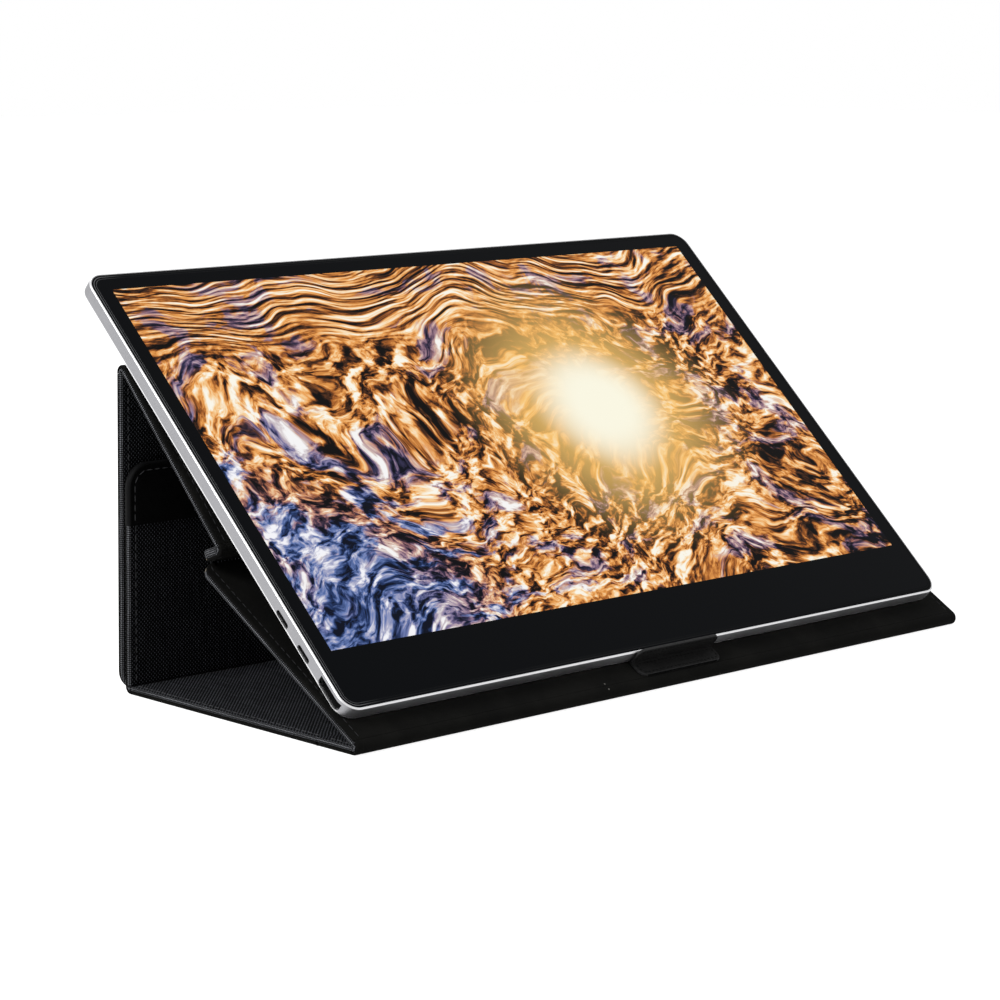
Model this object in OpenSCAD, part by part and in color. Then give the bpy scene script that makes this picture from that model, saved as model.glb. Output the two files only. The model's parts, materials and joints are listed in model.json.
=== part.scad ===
// Portable monitor standing in its folding cover.
// The side profile lives in a plane of (rear, up) pairs; X runs across the screen.
// Every panel of the cover is drawn flat in its own frame and then carried to its fold line.

/* [Screen] */
// Width of the picture area
active_w = 344.2; // [300:0.1:380]
// Height of the picture area
active_h = 193.6; // [170:0.1:215]
// Black border at the left and right of the picture
side_border = 8.6; // [7:0.1:14]
// Black border above the picture
top_border = 8.1; // [6:0.1:14]
// Black border below the picture
chin = 27.5; // [24:0.1:40]
// Corner radius of the front glass
glass_corner = 7; // [6:0.1:12]
// Thickness of the front glass
glass_t = 1.1; // [0.7:0.1:1.2]
// How far the screen leans back from the horizontal
tilt = 43.26; // [41:0.01:47]

/* [Housing] */
// Overall thickness of the monitor
body_t = 7.6; // [7.5:0.1:9]
// Radius between the side walls and the back
back_round = 2.3; // [2:0.1:4]
// Wall of the aluminium shell
shell_wall = 0.8; // [0.6:0.05:0.9]
// Gap all round between glass and shell
glass_gap = 0.3; // [0.25:0.01:0.4]
// Bevel on the shell's front edge
edge_bevel = 0.4; // [0.2:0.05:0.5]
// Depth of the HDMI socket's and the jack's centre line behind the glass
port_depth = 3.9; // [3.85:0.01:4]
// Depth of the USB-C sockets' centre line
usb_depth = 4.6; // [3.9:0.1:4.7]
// Depth of the buttons' centre line behind the glass
button_depth = 3.2; // [3:0.1:3.4]

/* [Sockets and buttons] */
// Height of the HDMI socket above the glass's lower edge
hdmi_y = 10.8; // [10:0.1:14]
// Height of the lower USB-C socket
usb_low_y = 31; // [29:0.1:34]
// Distance between the two USB-C sockets
usb_pitch = 17.6; // [16:0.1:22]
// Height of the headphone jack
jack_y = 12; // [9:0.1:14]
// Bore of the headphone jack
jack_bore = 3.6; // [3.55:0.01:3.7]
// Height of the power button
power_y = 32; // [30:0.1:36]
// Height of the menu rocker
rocker_y = 54; // [52:0.1:60]
// Length of the power button
power_len = 10; // [8:0.1:12]
// Length of the menu rocker
rocker_len = 20; // [16:0.1:22]

/* [Cover] */
// Width of the cover
cover_w = 370; // [368:0.5:380]
// Space between the cover's left edge and the shell's left wall
left_margin = 0.1; // [0.1:0.1:2]
// Thickness of a finished panel
panel_t = 3.2; // [3:0.1:3.6]
// Thickness of the woven outer skin
skin_t = 0.7; // [0.5:0.05:0.8]
// Thickness of the soft lining
lining_t = 0.7; // [0.5:0.05:0.8]
// Width of the turned hem
hem_w = 1.4; // [1:0.1:2]
// Slope of the ramp that the monitor stands on
ramp_angle = 30.6; // [29:0.1:32]
// Length of the ramp panel
ramp_len = 111; // [109:0.5:113]
// Slope of the narrow strip behind the ramp
spine_angle = 19.7; // [16:0.1:24]
// Length of the narrow strip
spine_len = 11.8; // [11:0.1:13]
// Length of the panel that the monitor leans on
back_len = 91; // [86:0.1:93]
// Length of the floor from front fold to rear fold
floor_len = 144.6; // [142:0.1:147]
// Length of the toe strip in front of the floor's crease
toe_len = 21; // [18:0.5:26]
// Gap between the boards at the floor's crease
crease_gap = 1.2; // [1:0.1:1.6]
// Height of the flap that is held to the rear panel
flap_len = 95; // [88:0.5:97]
// Corner radius at the cover's front edge
front_corner = 2.5; // [2:0.5:6]
// Corner radius at the rear panel's foot
rear_corner = 9; // [4:0.5:12]
// Corner radius at the flap's free edge
flap_corner = 10; // [6:0.5:14]
// Depth of the leather band along the flap's free edge
band_h = 26; // [20:0.5:32]
// Gap between the flap and the rear panel
flap_gap = 1.8; // [0.9:0.1:2.5]
// Distance from the front fold to where the monitor rests on the ramp
seat = 12.7; // [12:0.1:17]

/* [Stop tab] */
// Width of the leather stop tab
tab_w = 49.5; // [40:0.5:60]
// Thickness of the tab's leather
tab_t = 1.6; // [1.2:0.1:1.8]
// Length of the flange that stands before the monitor
tab_lip = 6.8; // [5:0.1:9]
// Distance from the front fold to the sewn flange's front edge
tab_start = 0.9; // [0.6:0.1:3]

/* [Hidden] */
$fn = 48;

// Clearances
touch = 0.1;        // between the resting monitor and what it rests on
lean_gap = 0.3;     // between the monitor's back and the panel's top edge
fold_set = 0.15;    // from a fold line to a panel's end
web_set = 0.05;     // from a fold's web to the panels' ends
slot_gap = 0.25;    // round a button in its slot
part_gap = 0.2;     // between neighbouring pieces inside the housing
film_gap = 0.02;    // between the seal and the glass and shell that it fills between
board_clear = 0.5;  // behind a socket that sits in the board
overlap = 0.01;     // by which two joined shapes reach into each other

// Vectors of the side profile
function along(a) = [cos(a), sin(a)];
function across_of(a) = [-sin(a), cos(a)];

// Monitor outline
glass_w = active_w + 2 * side_border;
glass_h = active_h + chin + top_border;
lip = shell_wall + glass_gap;
shell_w = glass_w + 2 * lip;
shell_h = glass_h + 2 * lip;
shell_corner = glass_corner + lip;
mon_x = -(cover_w / 2 - shell_w / 2 - left_margin);
floor_z = -body_t + shell_wall;   // inner face of the shell's back

// Fold lines, from the front to the apex and round to the rear
front_fold = [panel_t, panel_t];
ramp_top = front_fold + ramp_len * along(ramp_angle);
lower_spine_fold = ramp_top + (panel_t + lean_gap) * across_of(ramp_angle);
strip_angle = 180 - spine_angle;
spine_origin = lower_spine_fold - (panel_t + lean_gap) * across_of(strip_angle);
upper_spine_fold = spine_origin + spine_len * along(strip_angle);
round_centre = front_fold + seat * along(ramp_angle)
  + (panel_t + back_round + touch) * across_of(ramp_angle);
glass_foot = round_centre + (lip - back_round) * along(tilt)
  + (body_t - back_round) * across_of(tilt);
back_foot = glass_foot - body_t * across_of(tilt);
back_reach = sqrt(back_len * back_len + panel_t * panel_t);
back_drop = (back_foot - upper_spine_fold) * across_of(tilt) - lean_gap;
back_angle = tilt + asin(back_drop / back_reach) - atan2(panel_t, back_len);
apex_fold = upper_spine_fold + back_len * along(back_angle);
rear_fold = front_fold + [floor_len, 0];
foot = [rear_fold[0] + panel_t + flap_gap, 0];
rear_len = norm(foot - apex_fold);
rear_angle = atan2(foot[1] - apex_fold[1], foot[0] - apex_fold[0]);
flap_top = rear_fold - flap_len * along(rear_angle);
crease_fold = front_fold + [toe_len + crease_gap / 2, 0];
top_round = glass_foot + (glass_h + lip - back_round) * along(tilt)
  - (body_t - back_round) * across_of(tilt);
mid_rear = (front_fold[0] - panel_t + top_round[0] + back_round) / 2;

// Tab: its fold stands a leather's thickness before the monitor's lower wall
lean = tilt - ramp_angle;
wall_foot = [seat, panel_t + back_round + touch] - back_round * along(lean);
tab_top = panel_t + tab_t;
tab_fold_y = wall_foot[0] + (wall_foot[1] - tab_top) * tan(lean) - (tab_t + lean_gap) / cos(lean);

// Display stack, as depths behind the glass's front
cell_t = 0.9;
diffuser_t = 0.3;
guide_t = 0.6;
reflector_t = 0.2;
tray_t = 0.3;
cell_z = -glass_t - cell_t;
diffuser_z = cell_z - diffuser_t;
guide_z = diffuser_z - guide_t;
reflector_z = guide_z - reflector_t;
tray_z = reflector_z - tray_t;
cell_border = 1.6;
cell_w = active_w + 2 * cell_border;
cell_h = active_h + 2 * cell_border;
cell_y = chin - cell_border;
led_h = 1.8;

// Boards
board_t = 0.8;
board_z = -port_depth - 1.9;
board_w = 108;
board_x = -glass_w / 2 + 2;
board_y = 3;
board_h = usb_low_y + usb_pitch + 12 - board_y;
boss_r = 2.2;
hole_r = 0.8;
screw_r = 0.75;
screw_head = [1.5, 0.7];   // radius and height
chips = [[48, 30, 15, 15, 0.9], [76, 34, 9, 9, 0.8], [30, 40, 7, 7, 0.8], [90, 10, 4, 16, 1.2]];

// How far inside the shell's side a body h high, centred at a depth, has to end to clear the inner curve
function set_back(h, depth) = back_round
  - sqrt(pow(back_round - shell_wall - touch, 2) - pow(max(0, depth + h / 2 + back_round - body_t), 2));

// Sockets
hdmi_w = 14.5;
hdmi_h = 5.15;
hdmi_len = 11.5;
hdmi_back = set_back(hdmi_h, port_depth);
hdmi_mouth = [14.9, 4.2];
hdmi_tongue = [11.2, 1.0];
usb_w = 8.94;
usb_h = 3.26;
usb_len = 6.3;
usb_back = set_back(usb_h, usb_depth);
usb_mouth = [8.9, 2.5];
usb_tongue = [6.7, 0.7];
socket_wall = 0.3;
jack_len = 12;
jack_body = [12, 6.4, 5];
jack_nose_r = 2.4;
jack_set = 0.1;
jack_mouth = shell_w / 2 - jack_set;
jack_x = shell_w / 2 - set_back(jack_body[2], port_depth);

// Buttons: distances from the monitor's middle to the right
wall_in = shell_w / 2 - shell_wall;
button_out = shell_w / 2 + 0.4;
button_h = 2.2;
power_travel = 0.4;
flange_x = wall_in - 1.8;
flange_t = 1.0;
stem_in = flange_x - 1.2;
switch_x = stem_in - power_travel - 0.15;
switch_t = 1.2;
button_board_t = 0.6;
rocker_pin_r = 0.5;
rocker_pin_x = flange_x + flange_t / 2;

// Magnets and the plates that they hold to
magnet = [24, 10, 1.5];
magnet_x = [-140, -50, 50, 140];
magnet_y = 14;
plate = [60, 20, 0.5];
plate_x = magnet_x[3] / 2;
plate_y = (upper_spine_fold + (back_len - magnet_y) * along(back_angle) - glass_foot) * along(tilt);

// ---- shared shapes ----

module profile_at(p, a) translate([0, p[0] - mid_rear, p[1]]) rotate([a, 0, 0]) children();

module monitor_at() translate([mon_x, 0, 0]) profile_at(glass_foot, tilt) children();

// Rounded rectangle from y0 to y1, w wide, with its own radii at the two ends
module outline(w, y0, y1, r0, r1) {
  translate([-w / 2, y0 + r0]) square([w, y1 - y0 - r0 - r1]);
  translate([-w / 2 + r0, y0]) square([w - 2 * r0, r0 + overlap]);
  translate([-w / 2 + r1, y1 - r1 - overlap]) square([w - 2 * r1, r1 + overlap]);
  for (s = [-1, 1]) {
    translate([s * (w / 2 - r0), y0 + r0]) circle(r0);
    translate([s * (w / 2 - r1), y1 - r1]) circle(r1);
  }
}

module plate_of(w, y0, y1, r, z0, z1)
  translate([0, 0, z0]) linear_extrude(z1 - z0) outline(w, y0, y1, r, r);

// Ring between two rounded rectangles; in_w, in_y0 and in_y1 give the window
module ring_of(w, y0, y1, r, in_w, in_y0, in_y1, in_r, z0, z1)
  difference() {
    plate_of(w, y0, y1, r, z0, z1);
    plate_of(in_w, in_y0, in_y1, in_r, z0 - 1, z1 + 1);
  }

// ---- cover panels ----
// A panel starts at its fold line, runs along +Y, and thickens from skin to lining along +Z.

panel_r = 2.5;
lining_set = 0.5;   // from a panel's edge to its lining's

module panel_skin(y0, y1, r0 = panel_r, r1 = panel_r)
  color("#2b2d31")
  difference() {
    linear_extrude(panel_t - lining_t) outline(cover_w, y0, y1, r0, r1);
    translate([0, 0, skin_t]) linear_extrude(panel_t)
      outline(cover_w - 2 * hem_w, y0 + hem_w, y1 - hem_w, max(r0 - hem_w, 0.5), max(r1 - hem_w, 0.5));
  }

module panel_core(y0, y1, r0 = panel_r, r1 = panel_r)
  color("#8a7f6c")
  translate([0, 0, skin_t]) linear_extrude(panel_t - lining_t - skin_t)
    outline(cover_w - 2 * hem_w, y0 + hem_w, y1 - hem_w, max(r0 - hem_w, 0.5), max(r1 - hem_w, 0.5));

module panel_lining(y0, y1, r0 = panel_r, r1 = panel_r)
  color("#17181a")
  translate([0, 0, panel_t - lining_t]) linear_extrude(lining_t)
    outline(cover_w - 2 * lining_set, y0 + lining_set, y1 - lining_set, r0 - lining_set, r1 - lining_set);

module magnet_row(y, grow = 0)
  for (x = magnet_x)
    translate([x - magnet[0] / 2 - grow, y - magnet[1] / 2 - grow, skin_t + 0.1])
      cube([magnet[0] + 2 * grow, magnet[1] + 2 * grow, magnet[2] + grow * 10]);

// A fold's soft web: a band round fold line p, from angle a0 to a1, as thick as web_t
module fold_web(p, a0, a1, outer, web_t, w)
  translate([0, p[0] - mid_rear, p[1]]) rotate([90, 0, 90])
    rotate([0, 0, a0]) rotate_extrude(angle = a1 - a0)
      translate([outer - web_t, -w / 2]) square([web_t, w]);

module back_frame() profile_at(upper_spine_fold, back_angle) children();
module rear_frame() profile_at(apex_fold, rear_angle) children();
module spine_frame() profile_at(spine_origin, strip_angle) children();
module ramp_frame() profile_at(front_fold, ramp_angle) children();
module floor_frame() profile_at(rear_fold, 180) children();
module flap_frame() profile_at(flap_top, rear_angle) children();

back_span = [fold_set, back_len - fold_set];
rear_span = [fold_set, rear_len];
spine_span = [fold_set, spine_len - fold_set];
ramp_span = [fold_set, ramp_len - fold_set];
floor_span = [fold_set, floor_len - toe_len - crease_gap];
toe_span = [floor_len - toe_len, floor_len - fold_set];
flap_span = [0, flap_len - fold_set];
rear_magnet_y = rear_len - flap_len - panel_t + magnet_y;
back_magnet_y = back_len - magnet_y;

module back_canvas() back_frame() panel_skin(back_span[0], back_span[1]);
module back_board() back_frame() difference() {
  panel_core(back_span[0], back_span[1]);
  magnet_row(back_magnet_y, part_gap);
}
module back_lining() back_frame() panel_lining(back_span[0], back_span[1]);
module back_magnets() color("#b9bcc0") back_frame() magnet_row(back_magnet_y);

module rear_canvas() rear_frame() panel_skin(rear_span[0], rear_span[1], panel_r, rear_corner);
module rear_board() rear_frame() difference() {
  panel_core(rear_span[0], rear_span[1], panel_r, rear_corner);
  magnet_row(rear_magnet_y, part_gap);
}
module rear_lining() rear_frame() panel_lining(rear_span[0], rear_span[1], panel_r, rear_corner);
module rear_magnets() color("#b9bcc0") rear_frame() magnet_row(rear_magnet_y);

module spine_canvas() spine_frame() panel_skin(spine_span[0], spine_span[1]);
module spine_board() spine_frame() panel_core(spine_span[0], spine_span[1]);
module spine_lining() spine_frame() panel_lining(spine_span[0], spine_span[1]);

module ramp_canvas() ramp_frame() panel_skin(ramp_span[0], ramp_span[1], front_corner);
module ramp_board() ramp_frame() panel_core(ramp_span[0], ramp_span[1], front_corner);
module ramp_lining() ramp_frame() panel_lining(ramp_span[0], ramp_span[1], front_corner);

module toe_canvas() floor_frame() panel_skin(toe_span[0], toe_span[1], panel_r, front_corner);
module toe_board() floor_frame() panel_core(toe_span[0], toe_span[1], panel_r, front_corner);
module toe_lining() floor_frame() panel_lining(toe_span[0], toe_span[1], panel_r, front_corner);

module floor_canvas() floor_frame() panel_skin(floor_span[0], floor_span[1]);
module floor_board() floor_frame() panel_core(floor_span[0], floor_span[1]);
module floor_lining() floor_frame() panel_lining(floor_span[0], floor_span[1]);

module flap_canvas() flap_frame() panel_skin(flap_span[0], flap_span[1], flap_corner, panel_r);
module flap_board() flap_frame() difference() {
  panel_core(flap_span[0], flap_span[1], flap_corner, panel_r);
  magnet_row(magnet_y, part_gap);
}
module flap_lining() flap_frame() panel_lining(flap_span[0], flap_span[1], flap_corner, panel_r);
module flap_magnets() color("#b9bcc0") flap_frame() magnet_row(magnet_y);
band_t = 0.5;
band_set = 0.2;
module flap_band()
  color("#1b1b1c")
  flap_frame() translate([0, 0, -band_t]) linear_extrude(band_t)
    outline(cover_w - 2 * band_set, band_set, band_h, flap_corner, 0.5);

// Webs of the folds
web_core = 1.6;     // radius that a web leaves free round its fold line
web_angle = 3;      // between a web's end and the panel beside it
web_t = panel_t - web_core;
web_w = cover_w - 2 * panel_r;
front_web_w = cover_w - 2 * front_corner;
module apex_web() color("#17181a")
  fold_web(apex_fold, rear_angle + 90 + web_angle, back_angle + 90 - web_angle, panel_t, web_t, web_w);
module spine_upper_web() color("#17181a")
  fold_web(upper_spine_fold, back_angle + 90 + web_angle, strip_angle + 90 - web_angle,
    panel_t, web_t, web_w);
module spine_lower_web() color("#2b2d31")
  fold_web(lower_spine_fold, ramp_angle - 90 + 2 * web_angle, strip_angle - 90 - 2 * web_angle,
    panel_t + lean_gap, skin_t + lean_gap, web_w);
module front_web() color("#17181a")
  fold_web(front_fold, ramp_angle + 90 + web_angle, 270 - web_angle, panel_t, web_t, front_web_w);
module crease_web() color("#2b2d31")
  floor_frame() translate([-web_w / 2, floor_span[1] + web_set, 0])
    cube([web_w, crease_gap - 2 * web_set, skin_t]);
module heel_web() color("#17181a")
  fold_web(rear_fold, -90 + web_angle, rear_angle + 90 - web_angle, panel_t, web_t, web_w);

// ---- stop tab ----

tab_r = 4;          // where the flanges are long enough for it
base_r = min(tab_r, (tab_fold_y - fold_set - tab_start) / 2);
lip_r = min(tab_r, (tab_lip - fold_set) / 2);
tab_core = 0.3;     // radius that the bend leaves free round its fold line
tab_web_set = 0.5;  // from the tab's sides to the bend's
module tab_base()
  color("#222224")
  ramp_frame() translate([0, 0, panel_t]) linear_extrude(tab_t)
    outline(tab_w, tab_start, tab_fold_y - fold_set, base_r, 0.5);
module tab_lip_flange()
  color("#222224")
  ramp_frame() translate([0, tab_fold_y, tab_top]) rotate([90 + lean, 0, 0])
    translate([0, 0, -tab_t]) linear_extrude(tab_t) outline(tab_w, fold_set, tab_lip, 0.5, lip_r);
module tab_web()
  color("#222224")
  ramp_frame() translate([0, tab_fold_y, tab_top]) rotate([90, 0, 90])
    rotate([0, 0, -90 + web_angle]) rotate_extrude(angle = 90 + lean - 2 * web_angle)
      translate([tab_core, -tab_w / 2 + tab_web_set]) square([tab_t - tab_core, tab_w - 2 * tab_web_set]);

// ---- monitor ----

// Cross-section of the shell's rim: x runs outwards from the corner centres, y is the depth
function arc_points(cx, cy, r, a0, a1, n) =
  [for (i = [0:n]) [cx + r * cos(a0 + (a1 - a0) * i / n), cy + r * sin(a0 + (a1 - a0) * i / n)]];

rim_steps = 14;
rim_section = concat(
  [[shell_corner - shell_wall, 0], [shell_corner - edge_bevel, 0], [shell_corner, -edge_bevel]],
  arc_points(shell_corner - back_round, -body_t + back_round, back_round, 0, -90, rim_steps),
  [[0, -body_t], [0, floor_z]],
  arc_points(shell_corner - back_round, -body_t + back_round, back_round - shell_wall, -90, 0, rim_steps)
);

module rim_along(len) rotate([90, 0, 0]) translate([0, 0, -len / 2]) linear_extrude(len) polygon(rim_section);

module shell_rim() {
  hw = shell_w / 2 - shell_corner;
  hh = shell_h / 2 - shell_corner;
  for (s = [0, 180]) rotate([0, 0, s]) {
    translate([hw, 0, 0]) rim_along(2 * hh);
    translate([0, hh, 0]) rotate([0, 0, 90]) rim_along(2 * hw);
  }
  for (c = [[1, 1, 0], [-1, 1, 90], [-1, -1, 180], [1, -1, 270]])
    translate([c[0] * hw, c[1] * hh, 0]) rotate([0, 0, c[2]]) rotate_extrude(angle = 90) polygon(rim_section);
  translate([-hw, -hh, -body_t]) cube([2 * hw, 2 * hh, shell_wall]);
}

// Faces a cut or a socket towards the left wall; child's X runs up the screen, Y towards the viewer
module on_left(y, depth)
  translate([-shell_w / 2, y, -depth]) rotate([90, 0, -90]) mirror([1, 0, 0]) children();

module hdmi_outline(w, h) {
  cut = h * 0.32;
  polygon([[-w / 2, h / 2], [w / 2, h / 2], [w / 2, -h / 2 + cut], [w / 2 - cut, -h / 2],
    [-w / 2 + cut, -h / 2], [-w / 2, -h / 2 + cut]]);
}

module pill(w, h) {
  square([w - h, h], center = true);
  for (s = [-1, 1]) translate([s * (w - h) / 2, 0]) circle(h / 2);
}

speaker = [32, 16, 2.8];
speaker_x = glass_w / 2 - 30.7;
speaker_y = 112;
speaker_pocket = [24, 10, 0.6];
grille = [11, 1.4];
grille_pitch = 4.5;
boss_spots = [[board_x + 20, board_y + 3], [board_x + board_w - 4, board_y + 4],
  [board_x + 16, board_y + board_h - 4], [board_x + board_w - 4, board_y + board_h - 4]];

module rear_housing()
  color("#b4b6b8")
  monitor_at() {
    difference() {
      translate([0, glass_h / 2, 0]) shell_rim();
      on_left(hdmi_y, port_depth) translate([0, 0, -back_round])
        linear_extrude(2 * back_round) hdmi_outline(hdmi_mouth[0], hdmi_mouth[1]);
      for (y = [usb_low_y, usb_low_y + usb_pitch])
        on_left(y, usb_depth) translate([0, 0, -back_round])
          linear_extrude(2 * back_round) pill(usb_mouth[0], usb_mouth[1]);
      translate([shell_w / 2 - back_round, jack_y, -port_depth]) rotate([0, 90, 0])
        cylinder(h = 2 * back_round, r = jack_nose_r + part_gap / 2);
      button_slot(power_y, power_len);
      button_slot(rocker_y, rocker_len);
      for (s = [-1, 1], i = [-2:2])
        translate([s * speaker_x + i * grille_pitch, speaker_y + speaker[1] / 2, -body_t - 1])
          linear_extrude(shell_wall + 2) rotate([0, 0, 90]) pill(grille[0], grille[1]);
    }
    for (p = boss_spots) translate([p[0], p[1], floor_z - overlap]) difference() {
      cylinder(h = board_z - floor_z + overlap, r = boss_r);
      translate([0, 0, -0.5]) cylinder(h = body_t, r = hole_r);
    }
  }

module button_slot(y, len)
  translate([shell_w / 2 - back_round, y, -button_depth]) rotate([0, 90, 0]) rotate([0, 0, 90])
    linear_extrude(2 * back_round) pill(len + 2 * slot_gap, button_h + 2 * slot_gap);

seal_out = glass_gap - film_gap;
seal_set = 0.25;    // from the glass's front to the seal's
module glass_seal()
  color("#0b0b0c")
  monitor_at() ring_of(glass_w + 2 * seal_out, -seal_out, glass_h + seal_out, glass_corner + seal_out,
    glass_w + 2 * film_gap, -film_gap, glass_h + film_gap, glass_corner + film_gap, -glass_t, -seal_set);

module front_glass()
  color("#131417")
  monitor_at() plate_of(glass_w, 0, glass_h, glass_corner, -glass_t, 0);

frame_t = 1.3;
frame_z = -glass_t - frame_t;
frame_foot = 5.4;   // how far the frame's window reaches below the cell
post_r = 2.1;
post_gap = 10.47;   // from the main board's end to the nearest post
post_columns = [board_x + board_w + post_gap, glass_w / 6, glass_w / 2 - 30.7];
back_posts = [for (x = post_columns, y = [9, glass_h - 3.9]) [x, y]];
side_posts = [for (s = [-1, 1], y = [110, 180]) [s * (glass_w / 2 - 4.4), y]];
module mid_frame()
  color("#2a2a2c")
  monitor_at() difference() {
    union() {
      ring_of(glass_w - 0.2, 0.1, glass_h - 0.1, glass_corner - 0.1, cell_w + 2 * part_gap + 2 * tray_t,
        cell_y - frame_foot, cell_y + cell_h + part_gap + tray_t, 0.6, frame_z, -glass_t);
      for (p = concat(back_posts, side_posts)) frame_post(p);
    }
    for (p = concat(back_posts, side_posts)) post_hole(p);
    socket_space(hdmi_y, hdmi_w, hdmi_back + hdmi_len);
    for (y = [usb_low_y, usb_low_y + usb_pitch]) socket_space(y, usb_w, usb_back + usb_len);
    translate([jack_x - jack_body[0] - 1, jack_y - jack_body[1] / 2 - part_gap, frame_z - 1])
      cube([jack_body[0] + 4, jack_body[1] + 2 * part_gap, frame_t + 0.9]);
    for (b = [[power_y, power_len], [rocker_y, rocker_len]])
      translate([switch_x - switch_t - 0.4, b[0] - b[1] / 2 - 2, frame_z - 1])
        cube([12, b[1] + 4, frame_t + 0.7]);
  }

post_foot = 0.5;    // between a post and the shell's back
module frame_post(p)
  translate([p[0], p[1], floor_z + post_foot]) cylinder(h = frame_z - floor_z - post_foot + 0.1, r = post_r);
module post_hole(p) translate([p[0], p[1], floor_z]) cylinder(h = 2.9, r = hole_r);
module socket_space(y, w, reach)
  translate([-shell_w / 2, y - w / 2 - part_gap, frame_z - 1])
    cube([reach + part_gap, w + 2 * part_gap, frame_t + 0.9]);

module lcd_cell()
  color("#33363c")
  monitor_at() plate_of(cell_w, cell_y, cell_y + cell_h, 0.5, cell_z, -glass_t);

module diffuser_film()
  color("#e6e8ea")
  monitor_at() plate_of(cell_w - 0.4, cell_y + 0.2, cell_y + cell_h - 0.2, 0.5, diffuser_z, cell_z);

module light_guide()
  color("#cfe3ea")
  monitor_at() plate_of(cell_w - 0.4, cell_y + led_h + 0.6, cell_y + cell_h - 0.2, 0.5, guide_z, diffuser_z);

module reflector_film()
  color("#f1f2f2")
  monitor_at() plate_of(cell_w - 0.4, cell_y + 0.2, cell_y + cell_h - 0.2, 0.5, reflector_z, guide_z);

module led_strip()
  color("#ece6c8")
  monitor_at() translate([-cell_w / 2 + 4, cell_y + 0.4, guide_z]) cube([cell_w - 8, led_h, guide_t]);

module backlight_tray()
  color("#9a9da1")
  monitor_at() difference() {
    plate_of(cell_w + 2 * tray_t, cell_y - tray_t, cell_y + cell_h + tray_t, 0.5, tray_z, cell_z);
    plate_of(cell_w, cell_y, cell_y + cell_h, 0.5, reflector_z, 0);
  }

timing_x = [board_x + board_w + 22.7, glass_w / 2 - 20.7];
timing_y = 12;
timing_h = 9;
timing_z = frame_z - 1.5;
module timing_board()
  color("#1f5a3a")
  monitor_at() translate([timing_x[0], timing_y, timing_z])
    cube([timing_x[1] - timing_x[0], timing_h, board_t]);

// Films that carry the picture data from the cell's lower edge to the timing board
flex_t = 0.15;
flex_w = 24;
flex_count = 5;
flex_set = 8;       // from the timing board's end to the first film
flex_out = 3.4;     // how far a film stands out below the cell
flex_lap = 4;       // how far a film lies on the timing board
flex_pitch = (timing_x[1] - timing_x[0] - 2 * flex_set - flex_w) / (flex_count - 1);
flex_y = cell_y - flex_out;
flex_top = cell_z + 0.1;
flex_foot = timing_z + board_t;
module panel_flex()
  color("#b5792f")
  monitor_at() for (i = [0:flex_count - 1]) translate([timing_x[0] + flex_set + i * flex_pitch, 0, 0]) {
    translate([0, flex_y, flex_top]) cube([flex_w, flex_out, flex_t]);
    translate([0, flex_y, flex_foot]) cube([flex_w, flex_t, flex_top + flex_t - flex_foot]);
    translate([0, timing_y + timing_h - flex_lap, flex_foot])
      cube([flex_w, flex_y - timing_y - timing_h + flex_lap + flex_t, flex_t]);
  }

module main_board()
  color("#1f5a3a")
  monitor_at() difference() {
    union() {
      translate([board_x, board_y, board_z]) cube([board_w, board_h, board_t]);
      for (c = chips) translate([board_x + c[0], board_y + c[1], board_z + board_t]) cube([c[2], c[3], c[4]]);
    }
    translate([-shell_w / 2, hdmi_y - hdmi_w / 2 - part_gap, board_z - 1])
      cube([hdmi_back + hdmi_len + board_clear, hdmi_w + 2 * part_gap, 4]);
    for (y = [usb_low_y, usb_low_y + usb_pitch])
      translate([-shell_w / 2, y - usb_w / 2 - part_gap, board_z - 1])
        cube([usb_back + usb_len + board_clear, usb_w + 2 * part_gap, 4]);
    for (p = boss_spots) translate([p[0], p[1], board_z - 1]) cylinder(h = 4, r = hole_r + 0.1);
  }

module hdmi_socket()
  color("#c9cbcd")
  monitor_at() translate([hdmi_back, 0, 0]) on_left(hdmi_y, port_depth)
    translate([0, 0, -hdmi_len]) {
      difference() {
        linear_extrude(hdmi_len) hdmi_outline(hdmi_w, hdmi_h);
        translate([0, 0, 1]) linear_extrude(hdmi_len)
          hdmi_outline(hdmi_w - 2 * socket_wall, hdmi_h - 2 * socket_wall);
      }
      translate([-hdmi_tongue[0] / 2, 0.1, 0.5]) cube([hdmi_tongue[0], hdmi_tongue[1], hdmi_len - 1.7]);
    }

module usb_c_sockets()
  color("#c9cbcd")
  monitor_at() for (y = [usb_low_y, usb_low_y + usb_pitch])
    translate([usb_back, 0, 0]) on_left(y, usb_depth)
      translate([0, 0, -usb_len]) {
        difference() {
          linear_extrude(usb_len) pill(usb_w, usb_h);
          translate([0, 0, 1]) linear_extrude(usb_len) pill(usb_w - 2 * socket_wall, usb_h - 2 * socket_wall);
        }
        translate([-usb_tongue[0] / 2, -usb_tongue[1] / 2, 0.5])
          cube([usb_tongue[0], usb_tongue[1], usb_len - 1]);
      }

module headphone_jack()
  color("#1a1a1b")
  monitor_at() difference() {
    union() {
      translate([jack_x - jack_body[0], jack_y - jack_body[1] / 2, -port_depth - jack_body[2] / 2])
        cube(jack_body);
      translate([jack_x - 0.1, jack_y, -port_depth]) rotate([0, 90, 0])
        cylinder(h = jack_mouth - jack_x + 0.1, r = jack_nose_r);
    }
    translate([jack_mouth - jack_len, jack_y, -port_depth]) rotate([0, 90, 0])
      cylinder(h = jack_len + 1, r = jack_bore / 2);
  }

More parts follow.
